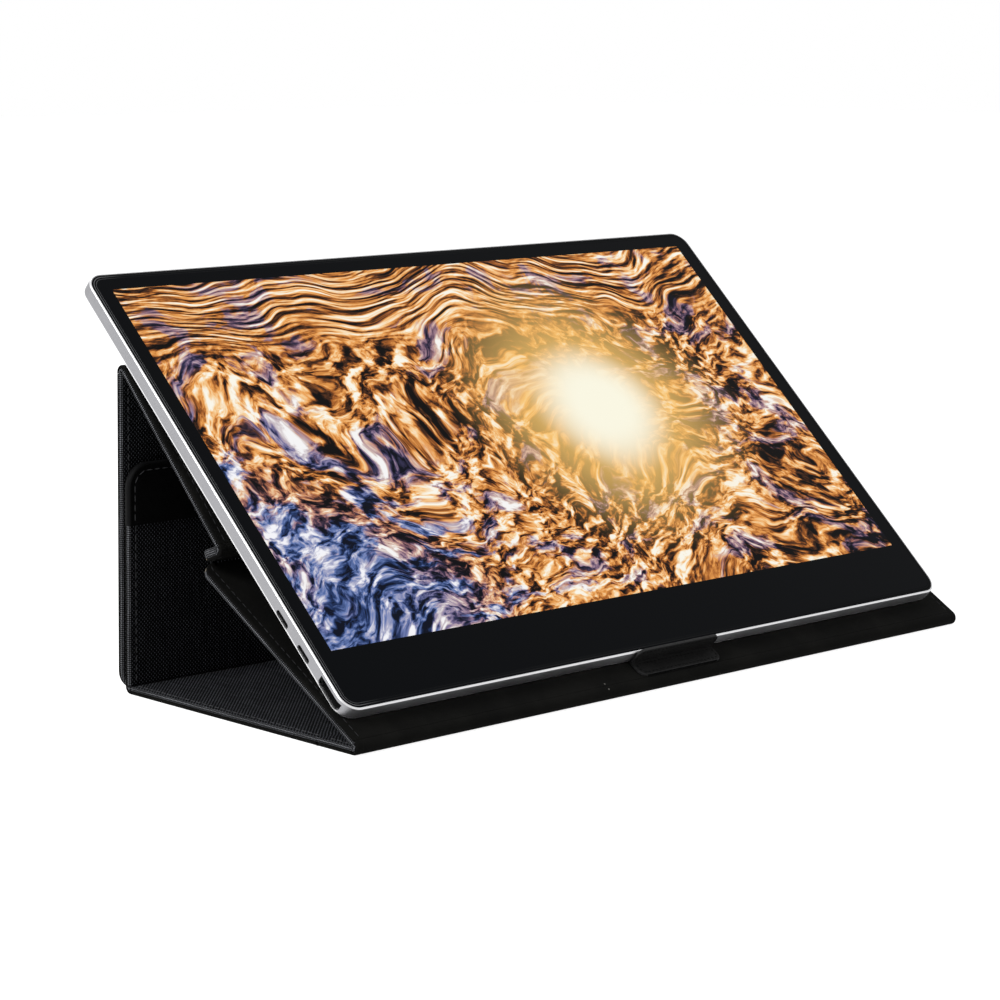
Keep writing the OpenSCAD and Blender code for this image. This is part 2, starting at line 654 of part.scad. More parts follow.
module speakers()
  color("#202022")
  monitor_at() for (s = [-1, 1])
    translate([s * speaker_x - speaker[0] / 2, speaker_y, floor_z]) {
      difference() {
        cube(speaker);
        translate([(speaker[0] - speaker_pocket[0]) / 2, (speaker[1] - speaker_pocket[1]) / 2, -1])
          cube([speaker_pocket[0], speaker_pocket[1], speaker_pocket[2] + 1]);
      }
    }

module button_board()
  color("#1f5a3a")
  monitor_at() {
    translate([switch_x - switch_t - button_board_t, power_y - 8, floor_z])
      cube([button_board_t, rocker_y + 12 - power_y + 8, frame_z - floor_z - 0.1]);
    for (y = [power_y, rocker_y - rocker_len / 2 + 4, rocker_y + rocker_len / 2 - 4])
      translate([switch_x - switch_t - overlap, y, -button_depth]) rotate([0, 90, 0])
        cylinder(h = switch_t + overlap, r = 1);
  }

// A key's cap, its stem through the slot and its flange behind the wall
module key(len, stem) {
  translate([flange_x, 0, 0]) rotate([0, 90, 0]) rotate([0, 0, 90]) {
    linear_extrude(button_out - flange_x) pill(len, button_h);
    linear_extrude(flange_t) pill(len + 2.4, button_h + 0.8);
  }
  for (y = stem) translate([stem_in, y, 0]) rotate([0, 90, 0])
    cylinder(h = flange_x - stem_in + 0.1, r = 0.9);
}

module power_button()
  color("#a9abad")
  monitor_at() translate([0, power_y, -button_depth]) key(power_len, [0]);

module menu_rocker()
  color("#a9abad")
  monitor_at() translate([0, rocker_y, -button_depth]) difference() {
    key(rocker_len, [-rocker_len / 2 + 4, rocker_len / 2 - 4]);
    translate([rocker_pin_x, 0, -4]) cylinder(h = 8, r = rocker_pin_r + 0.05);
  }

module rocker_pin()
  color("#c9cbcd")
  monitor_at() translate([rocker_pin_x, rocker_y, -button_depth - 2])
    cylinder(h = button_depth + 2 - glass_t - 0.4, r = rocker_pin_r);

module screws()
  color("#c0c2c4")
  monitor_at() {
    for (p = boss_spots)
      translate([p[0], p[1], board_z + board_t]) screw(board_z + board_t - floor_z - part_gap);
    for (p = back_posts) translate([p[0], p[1], floor_z + part_gap]) cylinder(h = 2.4, r = screw_r);
  }

module screw(len) {
  cylinder(h = screw_head[1], r = screw_head[0]);
  translate([0, 0, -len]) cylinder(h = len + overlap, r = screw_r);
}

module steel_plates()
  color("#8c9094")
  monitor_at() for (s = [-1, 1])
    translate([s * plate_x - plate[0] / 2, plate_y - plate[1] / 2, floor_z]) cube(plate);

rear_housing();
glass_seal();
front_glass();
mid_frame();
lcd_cell();
diffuser_film();
light_guide();
reflector_film();
led_strip();
backlight_tray();
timing_board();
panel_flex();
main_board();
hdmi_socket();
usb_c_sockets();
headphone_jack();
speakers();
button_board();
power_button();
menu_rocker();
rocker_pin();
screws();
steel_plates();
back_canvas();
back_board();
back_lining();
back_magnets();
rear_canvas();
rear_board();
rear_lining();
rear_magnets();
spine_canvas();
spine_board();
spine_lining();
ramp_canvas();
ramp_board();
ramp_lining();
tab_base();
tab_lip_flange();
toe_canvas();
toe_board();
toe_lining();
floor_canvas();
floor_board();
floor_lining();
flap_canvas();
flap_board();
flap_lining();
flap_band();
flap_magnets();
apex_web();
spine_upper_web();
spine_lower_web();
front_web();
crease_web();
heel_web();
tab_web();
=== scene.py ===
"""Portable monitor standing on its folding cover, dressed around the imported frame.

Sizes in the classes are millimetres, as on a maker's drawing, and become metres where a mesh is made.
Every panel of the cover has its own plane: X runs across the screen, Y away from the panel's fold line,
and Z from the woven skin (0) to the soft lining (the panel's full thickness).
"""

from __future__ import annotations

import json
import logging
import math
from dataclasses import dataclass, field, replace
from enum import Enum

import bmesh
import bpy
import numpy as np
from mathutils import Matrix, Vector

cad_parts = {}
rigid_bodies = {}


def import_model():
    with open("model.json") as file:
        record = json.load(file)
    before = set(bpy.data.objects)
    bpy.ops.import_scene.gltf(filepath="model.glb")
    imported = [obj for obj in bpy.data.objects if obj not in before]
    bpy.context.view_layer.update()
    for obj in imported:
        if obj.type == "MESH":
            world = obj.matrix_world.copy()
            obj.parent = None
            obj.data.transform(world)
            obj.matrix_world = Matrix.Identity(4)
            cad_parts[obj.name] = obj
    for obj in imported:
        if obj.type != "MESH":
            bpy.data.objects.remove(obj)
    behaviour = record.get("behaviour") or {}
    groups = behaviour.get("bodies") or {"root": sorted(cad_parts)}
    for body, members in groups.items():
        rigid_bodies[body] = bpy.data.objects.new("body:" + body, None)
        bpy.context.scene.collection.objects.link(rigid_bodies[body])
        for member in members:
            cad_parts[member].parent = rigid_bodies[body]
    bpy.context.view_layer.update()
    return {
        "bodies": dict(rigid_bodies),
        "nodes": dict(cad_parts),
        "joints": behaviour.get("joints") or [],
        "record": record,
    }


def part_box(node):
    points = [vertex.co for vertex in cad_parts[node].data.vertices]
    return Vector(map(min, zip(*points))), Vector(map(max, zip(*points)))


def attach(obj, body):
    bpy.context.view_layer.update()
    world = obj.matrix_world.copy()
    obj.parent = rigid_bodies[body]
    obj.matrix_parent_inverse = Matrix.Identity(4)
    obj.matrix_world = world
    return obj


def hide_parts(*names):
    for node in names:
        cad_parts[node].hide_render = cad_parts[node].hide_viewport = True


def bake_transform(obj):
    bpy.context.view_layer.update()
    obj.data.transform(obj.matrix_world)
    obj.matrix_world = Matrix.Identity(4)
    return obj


MM = 0.001
LOG = logging.getLogger("monitor")

Socket = bpy.types.NodeSocket
Material = bpy.types.Material
Object = bpy.types.Object
Triple = tuple[float, float, float]
Colour = Triple

CLOTH = "cloth"  # UV map of cloth, leather and thread, in metres along the surface
PICTURE = "picture"  # UV map of the glass, 0 to 1 over the lit area
HIGHLIGHT_AND_WEAR = "highlight_and_wear"  # point attribute: 1 on a rolled canvas hem, which gets a painted highlight, and on a leather edge, which is worn paler
SIDES = ((-1, "left"), (1, "right"))
MIDDLE = (0.3, 0.7)  # where most values of a noise lie


# ---------------------------------------------------------------- materials


class NodeSheet:
    """A material's node tree, with one short call for each kind of node that the finishes share."""

    def __init__(self, name: str) -> None:
        """Starts an empty tree.

        Args:
            name: Name of the material.
        """
        self.material = bpy.data.materials.new(name)
        self.material.use_nodes = True
        self.tree = self.material.node_tree
        self.tree.nodes.clear()

    def node(self, kind: str, **settings: object) -> bpy.types.Node:
        """Adds a node of a kind and sets its properties."""
        made = self.tree.nodes.new("ShaderNode" + kind)
        for key, value in settings.items():
            setattr(made, key, value)
        return made

    def feed(self, socket: Socket, value: Socket | float | Colour) -> None:
        """Links a socket to another one, or sets its plain value."""
        if isinstance(value, bpy.types.NodeSocket):
            self.tree.links.new(value, socket)
        elif isinstance(value, tuple) and len(value) == 3 and socket.type == "RGBA":
            socket.default_value = (*value, 1.0)
        else:
            socket.default_value = value

    def maths(self, operation: str, a: Socket | float, b: Socket | float = 0.0) -> Socket:
        """One Math node.

        Args:
            operation: Blender's name of the operation.
            a: First number.
            b: Second number, where the operation has one.

        Returns:
            The result's socket.
        """
        made = self.node("Math", operation=operation)
        self.feed(made.inputs[0], a)
        self.feed(made.inputs[1], b)
        return made.outputs[0]

    def plus(self, a: Socket | float, b: Socket | float) -> Socket:
        """Both numbers added."""
        return self.maths("ADD", a, b)

    def minus(self, a: Socket | float, b: Socket | float) -> Socket:
        """The first number less the second."""
        return self.maths("SUBTRACT", a, b)

    def times(self, a: Socket | float, b: Socket | float) -> Socket:
        """Both numbers multiplied."""
        return self.maths("MULTIPLY", a, b)

    def place(self) -> Socket:
        """Object coordinates, in metres."""
        return self.node("TexCoord").outputs["Object"]

    def chart(self, name: str) -> Socket:
        """One of the piece's own UV maps."""
        return self.node("UVMap", uv_map=name).outputs["UV"]

    def attribute(self, name: str) -> Socket:
        """One of the piece's own point attributes."""
        return self.node("Attribute", attribute_name=name).outputs["Fac"]

    def parts(self, where: Socket) -> tuple[Socket, Socket, Socket]:
        """The three numbers of a vector."""
        made = self.node("SeparateXYZ")
        self.feed(made.inputs[0], where)
        return made.outputs[0], made.outputs[1], made.outputs[2]

    def mapped(self, where: Socket, scale: Triple, turn: Triple = (0.0, 0.0, 0.0)) -> Socket:
        """Coordinates stretched and then turned, by degrees, in a Mapping node."""
        made = self.node("Mapping")
        self.feed(made.inputs["Vector"], where)
        made.inputs["Scale"].default_value = scale
        made.inputs["Rotation"].default_value = tuple(math.radians(a) for a in turn)
        return made.outputs[0]

    def wandering(self, where: Socket, by: Socket, reach: float) -> Socket:
        """Coordinates moved by a noise colour, up to about reach."""
        made = self.node("VectorMath", operation="MULTIPLY_ADD")
        self.feed(made.inputs[0], by)
        made.inputs[1].default_value = (reach, reach, reach)
        self.feed(made.inputs[2], where)
        return made.outputs[0]

    def noise(self, where: Socket, scale: float, detail: float = 3.0, rough: float = 0.55, colour: bool = False,
              warp: float = 0.0) -> Socket:
        """A Noise Texture, as a number or as a colour."""
        made = self.node("TexNoise")
        self.feed(made.inputs["Vector"], where)
        made.inputs["Scale"].default_value = scale
        made.inputs["Detail"].default_value = detail
        made.inputs["Roughness"].default_value = rough
        made.inputs["Distortion"].default_value = warp
        return made.outputs["Color" if colour else "Fac"]

    def cells(self, where: Socket, scale: float, feature: str = "F1", output: str = "Distance") -> Socket:
        """A Voronoi Texture."""
        made = self.node("TexVoronoi", feature=feature)
        self.feed(made.inputs["Vector"], where)
        made.inputs["Scale"].default_value = scale
        return made.outputs[output]

    def step(self, value: Socket, low: float, high: float, to_low: float = 0.0, to_high: float = 1.0) -> Socket:
        """A smooth step of value between low and high."""
        made = self.node("MapRange", interpolation_type="SMOOTHSTEP")
        self.feed(made.inputs["Value"], value)
        for key, number in (("From Min", low), ("From Max", high), ("To Min", to_low), ("To Max", to_high)):
            made.inputs[key].default_value = number
        return made.outputs[0]

    def spread(self, mark: Socket, to_low: float = 0.0, to_high: float = 1.0) -> Socket:
        """A noise's middle values, which are most of them, drawn out between two numbers."""
        return self.step(mark, *MIDDLE, to_low, to_high)

    def mix(self, share: Socket | float, a: Socket | Colour, b: Socket | Colour) -> Socket:
        """A colour mix, from a at share 0 to b at share 1."""
        made = self.node("Mix", data_type="RGBA", blend_type="MIX")
        self.feed(made.inputs[0], share)
        self.feed(made.inputs[6], a)
        self.feed(made.inputs[7], b)
        return made.outputs[2]

    def shaded(self, colour: Socket | Colour, by: Socket) -> Socket:
        """A colour times a number."""
        made = self.node("VectorMath", operation="SCALE")
        self.feed(made.inputs[0], colour)
        self.feed(made.inputs["Scale"], by)
        return made.outputs[0]

    def ramp(self, value: Socket, stops: list[tuple[float, Colour]]) -> Socket:
        """A colour ramp through the stops."""
        made = self.node("ValToRGB")
        ramp = made.color_ramp
        for index, (spot, colour) in enumerate(stops):
            stop = ramp.elements[index] if index < 2 else ramp.elements.new(spot)
            stop.position = spot
            stop.color = (*colour, 1.0)
        self.feed(made.inputs[0], value)
        return made.outputs[0]

    def bump(self, height: Socket, depth: float) -> Socket:
        """A Bump node whose full height is depth millimetres."""
        made = self.node("Bump")
        made.inputs["Distance"].default_value = depth * MM
        self.feed(made.inputs["Height"], height)
        return made.outputs[0]

    def finish(self, **inputs: Socket | float | Colour) -> Material:
        """Adds the Principled shader and the output.

        Args:
            inputs: Values or sockets by the shader's input names, with underscores for spaces.

        Returns:
            The finished material.
        """
        shader = self.node("BsdfPrincipled")
        for key, value in inputs.items():
            self.feed(shader.inputs[key.replace("_", " ")], value)
        output = self.node("OutputMaterial")
        self.tree.links.new(shader.outputs[0], output.inputs[0])
        return self.material


@dataclass(frozen=True)
class WovenCanvas:
    """Plain-woven canvas of dark threads, paler on a rolled hem: partly painted highlight, partly rubbed thread.

    With S = sin(pi u / pitch) and T = sin(pi v / pitch), the warp stands 0.6|S| + 0.4ST high and the weft
    0.6|T| - 0.4ST, so each thread passes over one neighbour and under the next.
    """

    name: str = "woven_canvas"
    pitch: float = 0.90
    warp: Colour = (0.062, 0.065, 0.073)
    weft: Colour = (0.0008, 0.0008, 0.001)
    # Colour of a rolled hem's threads: partly painted highlight, partly rubbed thread.
    hem: Colour = (0.080, 0.082, 0.088)
    thread_height: float = 0.22
    wander: float = 0.3
    fibre_scale: float = 6200.0
    slub_scale: Triple = (900.0, 60.0, 1.0)
    # Thread heights over which the colour rises from black to lit_gain times its own: painted shade in the gaps between
    # threads, painted highlight on their tops.
    lit_share: tuple[float, float] = (0.50, 0.95)
    lit_gain: float = 2.7

    def build(self) -> Material:
        """The canvas, on the piece's own cloth map and hem attribute."""
        sheet = NodeSheet(self.name)
        cloth = sheet.chart(CLOTH)
        wavy = sheet.wandering(cloth, sheet.noise(cloth, 260.0, 2.0, colour=True), self.wander * MM)
        u, v, _ = sheet.parts(wavy)
        turn = math.pi / (self.pitch * MM)
        across = sheet.maths("SINE", sheet.times(u, turn))
        along = sheet.maths("SINE", sheet.times(v, turn))
        crossing = sheet.times(sheet.times(across, along), 0.4)
        warp = sheet.plus(sheet.times(sheet.maths("ABSOLUTE", across), 0.6), crossing)
        weft = sheet.minus(sheet.times(sheet.maths("ABSOLUTE", along), 0.6), crossing)
        top = sheet.maths("MAXIMUM", warp, weft)
        which = sheet.step(sheet.minus(warp, weft), -0.06, 0.06)
        fibre = sheet.noise(cloth, self.fibre_scale, 2.0)
        slubs = sheet.noise(sheet.mapped(cloth, self.slub_scale), 1.0, 2.0)
        threads = sheet.mix(which, self.weft, self.warp)
        # Painted highlight on the thread tops of a rolled hem, partly rubbed thread.
        highlit_and_worn = sheet.times(sheet.attribute(HIGHLIGHT_AND_WEAR), sheet.step(top, 0.3, 0.8, 0.05, 1.0))
        # Painted shade in the weave's gaps and painted highlight on the thread tops, times random tone from slubs and
        # fibres.
        shade = sheet.times(sheet.step(top, *self.lit_share, 0.0, self.lit_gain), sheet.spread(slubs, 0.7, 1.35))
        shade = sheet.times(shade, sheet.spread(fibre, 0.6, 1.45))
        height = sheet.plus(top, sheet.times(fibre, 0.18))
        return sheet.finish(
            Base_Color=sheet.shaded(sheet.mix(highlit_and_worn, threads, self.hem), shade),
            Roughness=sheet.step(fibre, 0.2, 0.8, 0.74, 0.9),
            Normal=sheet.bump(height, self.thread_height),
            Specular_IOR_Level=0.05,
        )


@dataclass(frozen=True)
class SoftLining:
    """Brushed microfibre: a short black nap with brushed patches and a few specks of dust."""

    nap: Colour = (0.0052, 0.0052, 0.0049)
    brushed: Colour = (0.0082, 0.0081, 0.0074)
    dust: Colour = (0.15, 0.145, 0.135)
    dust_scale: float = 130.0
    patch_scale: float = 38.0
    patch_wander: float = 12.0

    def build(self) -> Material:
        """The lining, on the piece's own cloth map."""
        sheet = NodeSheet("soft_lining")
        cloth = sheet.chart(CLOTH)
        drift = sheet.noise(cloth, 25.0, 2.0, colour=True)
        patches = sheet.noise(sheet.wandering(cloth, drift, self.patch_wander * MM), self.patch_scale, 4.0)
        nap = sheet.noise(sheet.mapped(cloth, (1.0, 0.6, 1.0)), 3600.0, 3.0, 0.65)
        spot = sheet.step(sheet.cells(cloth, self.dust_scale), 0.035, 0.065, 1.0, 0.0)
        rare = sheet.step(sheet.parts(sheet.cells(cloth, self.dust_scale, output="Color"))[0], 0.80, 0.86)
        colour = sheet.mix(sheet.step(patches, 0.4, 0.65), self.nap, self.brushed)
        colour = sheet.shaded(colour, sheet.step(nap, 0.25, 0.75, 0.6, 1.4))
        return sheet.finish(
            Base_Color=sheet.mix(sheet.times(spot, rare), colour, self.dust),
            Roughness=sheet.step(nap, 0.2, 0.8, 0.82, 0.96),
            Normal=sheet.bump(nap, 0.05),
            Specular_IOR_Level=0.04,
        )


@dataclass(frozen=True)
class Leather:
    """Finished leather: pebbled cells with creases between them, and a paler burnished edge."""

    name: str
    grain: float
    depth: float
    colour: Colour
    edge: Colour
    roughness: float

    def build(self) -> Material:
        """The leather, on the piece's own cloth map and hem attribute."""
        sheet = NodeSheet(self.name)
        cloth = sheet.chart(CLOTH)
        bent = sheet.wandering(cloth, sheet.noise(cloth, 500.0, 2.0, colour=True), self.grain * 0.5 * MM)
        pebble = sheet.cells(bent, 1 / (self.grain * MM), "SMOOTH_F1")
        crease = sheet.step(sheet.cells(bent, 1 / (self.grain * MM), "DISTANCE_TO_EDGE"), 0.0, 0.12)
        fine = sheet.noise(cloth, 4200.0, 3.0)
        cloudy = sheet.noise(cloth, 60.0, 3.0)
        # Colour darker in the creases between pebbles: painted shade; the cloudy noise is random tone.
        tone = sheet.times(sheet.step(crease, 0.0, 1.0, 0.6, 1.05), sheet.spread(cloudy, 0.85, 1.2))
        worn = sheet.times(sheet.attribute(HIGHLIGHT_AND_WEAR), sheet.step(fine, 0.35, 0.65, 0.6, 1.0))
        height = sheet.plus(sheet.minus(crease, sheet.times(pebble, 0.5)), sheet.times(fine, 0.3))
        return sheet.finish(
            Base_Color=sheet.mix(worn, sheet.shaded(self.colour, tone), self.edge),
            Roughness=sheet.step(crease, 0.0, 1.0, self.roughness + 0.15, self.roughness),
            Normal=sheet.bump(height, self.depth),
            Specular_IOR_Level=0.06,
        )


@dataclass(frozen=True)
class Thread:
    """Twisted sewing thread: two plies that wind round each other."""

    name: str
    colour: Colour
    ply: float = 0.32

    def build(self) -> Material:
        """The thread, on the stitch's own cloth map: u round the thread, v along it."""
        sheet = NodeSheet(self.name)
        cloth = sheet.chart(CLOTH)
        u, v, _ = sheet.parts(cloth)
        twist = sheet.maths("SINE", sheet.times(sheet.plus(u, v), math.tau / (self.ply * MM)))
        fluff = sheet.noise(sheet.place(), 5200.0, 2.0)
        # Colour darker in the groove between the plies: painted shade; the fluff is random tone.
        tone = sheet.times(sheet.step(twist, -1.0, 0.8, 0.45, 1.1), sheet.spread(fluff, 0.75, 1.25))
        return sheet.finish(
            Base_Color=sheet.shaded(self.colour, tone),
            Roughness=0.75,
            Normal=sheet.bump(twist, 0.06),
            Specular_IOR_Level=0.1,
        )


@dataclass(frozen=True)
class BlastedAluminium:
    """Bead-blasted, clear-anodised aluminium with a diamond-cut lip, paler partly by painted highlight, and a painted
    highlight along the edge where the back begins.
    """

    plane: Plane
    colour: Colour = (0.355, 0.355, 0.37)
    lip_polish_and_highlight: Colour = (0.62, 0.62, 0.63)
    back_edge_highlight: Colour = (0.95, 0.95, 0.96)
    roughness: float = 0.46
    lip: float = 0.38
    turn: float = 5.6
    pit_scale: float = 5200.0
    coarse_scale: float = 2600.0

    def build(self) -> Material:
        """The metal: fine pits of two sizes, and faint handling marks in its gloss."""
        sheet = NodeSheet("blasted_aluminium")
        place = sheet.place()
        pits = sheet.noise(place, self.pit_scale, 2.0)
        coarse = sheet.cells(place, self.coarse_scale)
        smears = sheet.noise(sheet.mapped(place, (1.0, 2.2, 1.6)), 22.0, 4.0)
        height = sheet.plus(pits, sheet.times(coarse, 0.5))
        across = self.plane.across()
        level = sheet.node("VectorMath", operation="DOT_PRODUCT")
        sheet.feed(level.inputs[0], place)
        level.inputs[1].default_value = (0.0, *across)
        depth = sheet.minus(float(across @ self.plane.origin) * MM, level.outputs["Value"])
        # Paler lip: partly the polished diamond-cut chamfer, partly painted highlight.
        lip = sheet.step(depth, (self.lip - 0.05) * MM, (self.lip + 0.05) * MM, 1.0, 0.0)
        # A painted highlight along the rounded edge where the side turns into the back.
        edge = sheet.step(depth, (self.turn - 0.1) * MM, (self.turn + 0.2) * MM, 0.0, 1.0)
        tone = sheet.mix(edge, sheet.mix(lip, self.colour, self.lip_polish_and_highlight), self.back_edge_highlight)
        return sheet.finish(
            Base_Color=sheet.shaded(tone, sheet.spread(pits, 0.95, 1.04)),
            Metallic=1.0,
            Roughness=sheet.spread(smears, self.roughness - 0.04, self.roughness + 0.05),
            Normal=sheet.bump(height, 0.006),
        )


@dataclass(frozen=True)
class DisplayGlass:
    """Coated front glass: black print round a lit picture of crumpled foil.

    The picture is a general pattern: the foil's creases are the slope of a warped field of noise, warm round
    a glow, blue towards one corner and drawn out into ripples along the top.
    """

    border: Colour = (0.0019, 0.0025, 0.0036)
    glow_place: Triple = (1.22, 0.58, 0.0)
    blue_place: Triple = (0.22, 0.16, 0.0)
    shape: float = 344.2 / 193.6

    def picture(self, sheet: NodeSheet, where: Socket) -> Socket:
        """The picture's colour at a place of 0 to shape across and 0 to 1 up."""
        drift = sheet.noise(where, 1.3, 3.0, 0.5, colour=True)
        bent = sheet.wandering(where, drift, 0.75)
        foil = sheet.mapped(sheet.wandering(bent, sheet.noise(bent, 9.0, 3.0, 0.55, colour=True), 0.11),
                            (1.0, 1.8, 1.0), (0.0, 0.0, -24.0))
        crumple = self._slope(sheet, foil, 13.0, (0.012, -0.016, 0.0), 0.56)
        ripple = self._slope(sheet, sheet.mapped(bent, (1.0, 8.0, 1.0)), 5.0, (0.006, -0.05, 0.0), 0.56)
        calm = sheet.step(sheet.parts(where)[1], 0.74, 0.86)
        light = sheet.plus(sheet.times(crumple, sheet.minus(1.0, calm)), sheet.times(ripple, calm))
        tone = sheet.noise(foil, 2.4, 6.0, 0.62)
        level = sheet.plus(sheet.times(tone, 0.80), sheet.times(light, 2.6))
        warm = sheet.ramp(level, [
            (0.14, (0.003, 0.002, 0.002)),
            (0.27, (0.075, 0.026, 0.010)),
            (0.37, (0.40, 0.12, 0.022)),
            (0.49, (0.86, 0.36, 0.085)),
            (0.62, (0.98, 0.66, 0.33)),
            (0.76, (1.0, 0.97, 0.86)),
        ])
        cool = sheet.ramp(level, [
            (0.14, (0.002, 0.004, 0.014)),
            (0.29, (0.020, 0.045, 0.15)),
            (0.42, (0.13, 0.20, 0.46)),
            (0.56, (0.42, 0.43, 0.60)),
            (0.74, (0.95, 0.95, 1.0)),
        ])
        blue = sheet.plus(self._nearness(sheet, bent, self.blue_place, 1.15),
                          sheet.step(sheet.noise(foil, 7.0, 5.0, 0.6), 0.46, 0.62, 0.0, 0.42))
        colour = sheet.mix(sheet.step(blue, 0.16, 0.66), warm, cool)
        glow = self._nearness(sheet, sheet.wandering(where, drift, 0.12), self.glow_place, 0.62)
        colour = sheet.mix(sheet.step(glow, 0.15, 0.95, 0.0, 0.8), colour, (1.0, 0.62, 0.18))
        return sheet.mix(sheet.step(glow, 0.70, 0.95), colour, (1.0, 0.97, 0.80))

    @staticmethod
    def _slope(sheet: NodeSheet, where: Socket, scale: float, lean: Triple, rough: float) -> Socket:
        """How much higher a field of noise stands here than a little further on."""
        moved = sheet.node("VectorMath", operation="ADD")
        sheet.feed(moved.inputs[0], where)
        moved.inputs[1].default_value = lean
        here, there = (sheet.noise(spot, scale, 6.0, rough) for spot in (where, moved.outputs[0]))
        return sheet.minus(here, there)

    @staticmethod
    def _nearness(sheet: NodeSheet, where: Socket, spot: Triple, reach: float) -> Socket:
        """1 at a spot, falling to 0 at reach."""
        gap = sheet.node("VectorMath", operation="DISTANCE")
        sheet.feed(gap.inputs[0], where)
        gap.inputs[1].default_value = spot
        return sheet.step(gap.outputs["Value"], 0.0, reach, 1.0, 0.0)

    def build(self) -> Material:
        """The glass's face, on the piece's own picture map."""
        sheet = NodeSheet("display_glass")
        chart = sheet.chart(PICTURE)
        u, v, _ = sheet.parts(chart)
        lit: Socket | float = 1.0
        for side in (u, v):
            for limit in (sheet.maths("GREATER_THAN", side, 0.0), sheet.maths("LESS_THAN", side, 1.0)):
                lit = sheet.times(lit, limit)
        image = self.picture(sheet, sheet.mapped(chart, (self.shape, 1.0, 1.0)))
        smears = sheet.noise(sheet.place(), 30.0, 4.0)
        return sheet.finish(
            Base_Color=sheet.mix(lit, self.border, (0.002, 0.002, 0.002)),
            Roughness=sheet.step(smears, 0.35, 0.65, 0.08, 0.13),
            Specular_IOR_Level=0.025,
            Emission_Color=sheet.mix(lit, (0.0, 0.0, 0.0), image),
            Emission_Strength=0.95,
        )


@dataclass(frozen=True)
class GlassEdgeHighlight:
    """Two painted highlight lines in the rim of the front glass, bright along the left side and fading to the right."""

    colour: Colour = (0.125, 0.129, 0.135)

    def build(self) -> Material:
        """The rim's material, with fine grinding marks in its gloss."""
        sheet = NodeSheet("glass_edge_highlight")
        marks = sheet.noise(sheet.mapped(sheet.place(), (1.0, 3.0, 3.0)), 900.0, 2.0)
        across = sheet.parts(sheet.chart(PICTURE))[0]
        # Painted highlight: full along the left side, a tenth of that elsewhere, and fainter still towards the right;
        # the specular level follows it.
        beside, beyond = sheet.step(across, -0.02, 0.03, 1.0, 0.10), sheet.step(across, 0.3, 0.9, 1.0, 0.15)
        lit = sheet.times(beside, beyond)
        return sheet.finish(
            Base_Color=sheet.shaded(self.colour, lit),
            Roughness=sheet.spread(marks, 0.16, 0.24),
            Specular_IOR_Level=sheet.times(lit, 0.5),
        )


class Surface(Enum):
    """How a plain part's surface was left by its maker."""

    MOULDED = "moulded"
    BRUSHED = "brushed"
    ROLLED = "rolled"
    FIBROUS = "fibrous"
    CIRCUIT = "circuit"


@dataclass(frozen=True)
class PlainFinish:
    """A single-material part inside the housing or the cover, told apart by its surface."""

    slot: str
    colour: Colour
    second: Colour
    surface: Surface
    metallic: float = 0.0
    roughness: float = 0.5

    def build(self) -> Material:
        """The finish: two tones, a roughness that varies and the relief of its surface."""
        sheet = NodeSheet(self.slot + "_finish")
        place = sheet.place()
        if self.surface is Surface.BRUSHED:
            mark, depth = sheet.noise(sheet.mapped(place, (12.0, 900.0, 900.0)), 6.0, 3.0), 0.01
        elif self.surface is Surface.FIBROUS:
            mark, depth = sheet.noise(sheet.mapped(place, (1.0, 0.35, 1.0)), 1400.0, 4.0, 0.7), 0.06
        elif self.surface is Surface.CIRCUIT:
            mark, depth = sheet.step(sheet.cells(place, 420.0, "DISTANCE_TO_EDGE"), 0.03, 0.08), 0.03
        elif self.surface is Surface.ROLLED:
            mark, depth = sheet.noise(sheet.mapped(place, (2.0, 0.5, 1.0)), 60.0, 4.0), 0.01
        else:
            mark, depth = sheet.noise(place, 2600.0, 3.0), 0.02
        return sheet.finish(
            Base_Color=sheet.mix(sheet.spread(mark), self.second, self.colour),
            Metallic=self.metallic,
            Roughness=sheet.step(mark, 0.2, 0.8, self.roughness + 0.08, self.roughness - 0.05),
            Normal=sheet.bump(mark, depth),
        )


PLAIN = (
    PlainFinish("seal", (0.010, 0.010, 0.010), (0.006, 0.006, 0.006), Surface.MOULDED, roughness=0.7),
    PlainFinish("inner_plastic", (0.030, 0.030, 0.032), (0.022, 0.022, 0.023), Surface.MOULDED, roughness=0.55),
    PlainFinish("cell", (0.030, 0.034, 0.042), (0.022, 0.025, 0.030), Surface.ROLLED, roughness=0.25),
    PlainFinish("film", (0.82, 0.83, 0.84), (0.76, 0.77, 0.79), Surface.ROLLED, roughness=0.35),
    PlainFinish("led", (0.86, 0.80, 0.58), (0.78, 0.72, 0.50), Surface.MOULDED, roughness=0.4),
    PlainFinish("tray_metal", (0.55, 0.56, 0.57), (0.48, 0.49, 0.50), Surface.BRUSHED, 1.0, 0.38),
    PlainFinish("circuit_board", (0.014, 0.095, 0.048), (0.035, 0.150, 0.075), Surface.CIRCUIT, roughness=0.4),
    PlainFinish("flex_film", (0.46, 0.20, 0.035), (0.36, 0.15, 0.025), Surface.ROLLED, roughness=0.35),
    # Socket shells darkened to a near-black metal: painted shade for the inside of the openings.
    PlainFinish("socket_metal", (0.10, 0.10, 0.10), (0.07, 0.07, 0.07), Surface.BRUSHED, 1.0, 0.5),
    PlainFinish("black_plastic", (0.014, 0.014, 0.015), (0.010, 0.010, 0.011), Surface.MOULDED, roughness=0.45),
    PlainFinish("key_metal", (0.58, 0.585, 0.595), (0.52, 0.525, 0.535), Surface.BRUSHED, 1.0, 0.32),
    PlainFinish("steel", (0.42, 0.43, 0.44), (0.34, 0.35, 0.36), Surface.BRUSHED, 1.0, 0.4),
    PlainFinish("stiffener", (0.26, 0.22, 0.16), (0.19, 0.16, 0.115), Surface.FIBROUS, roughness=0.9),
    PlainFinish("magnet", (0.60, 0.60, 0.59), (0.54, 0.54, 0.53), Surface.ROLLED, 1.0, 0.22),
)


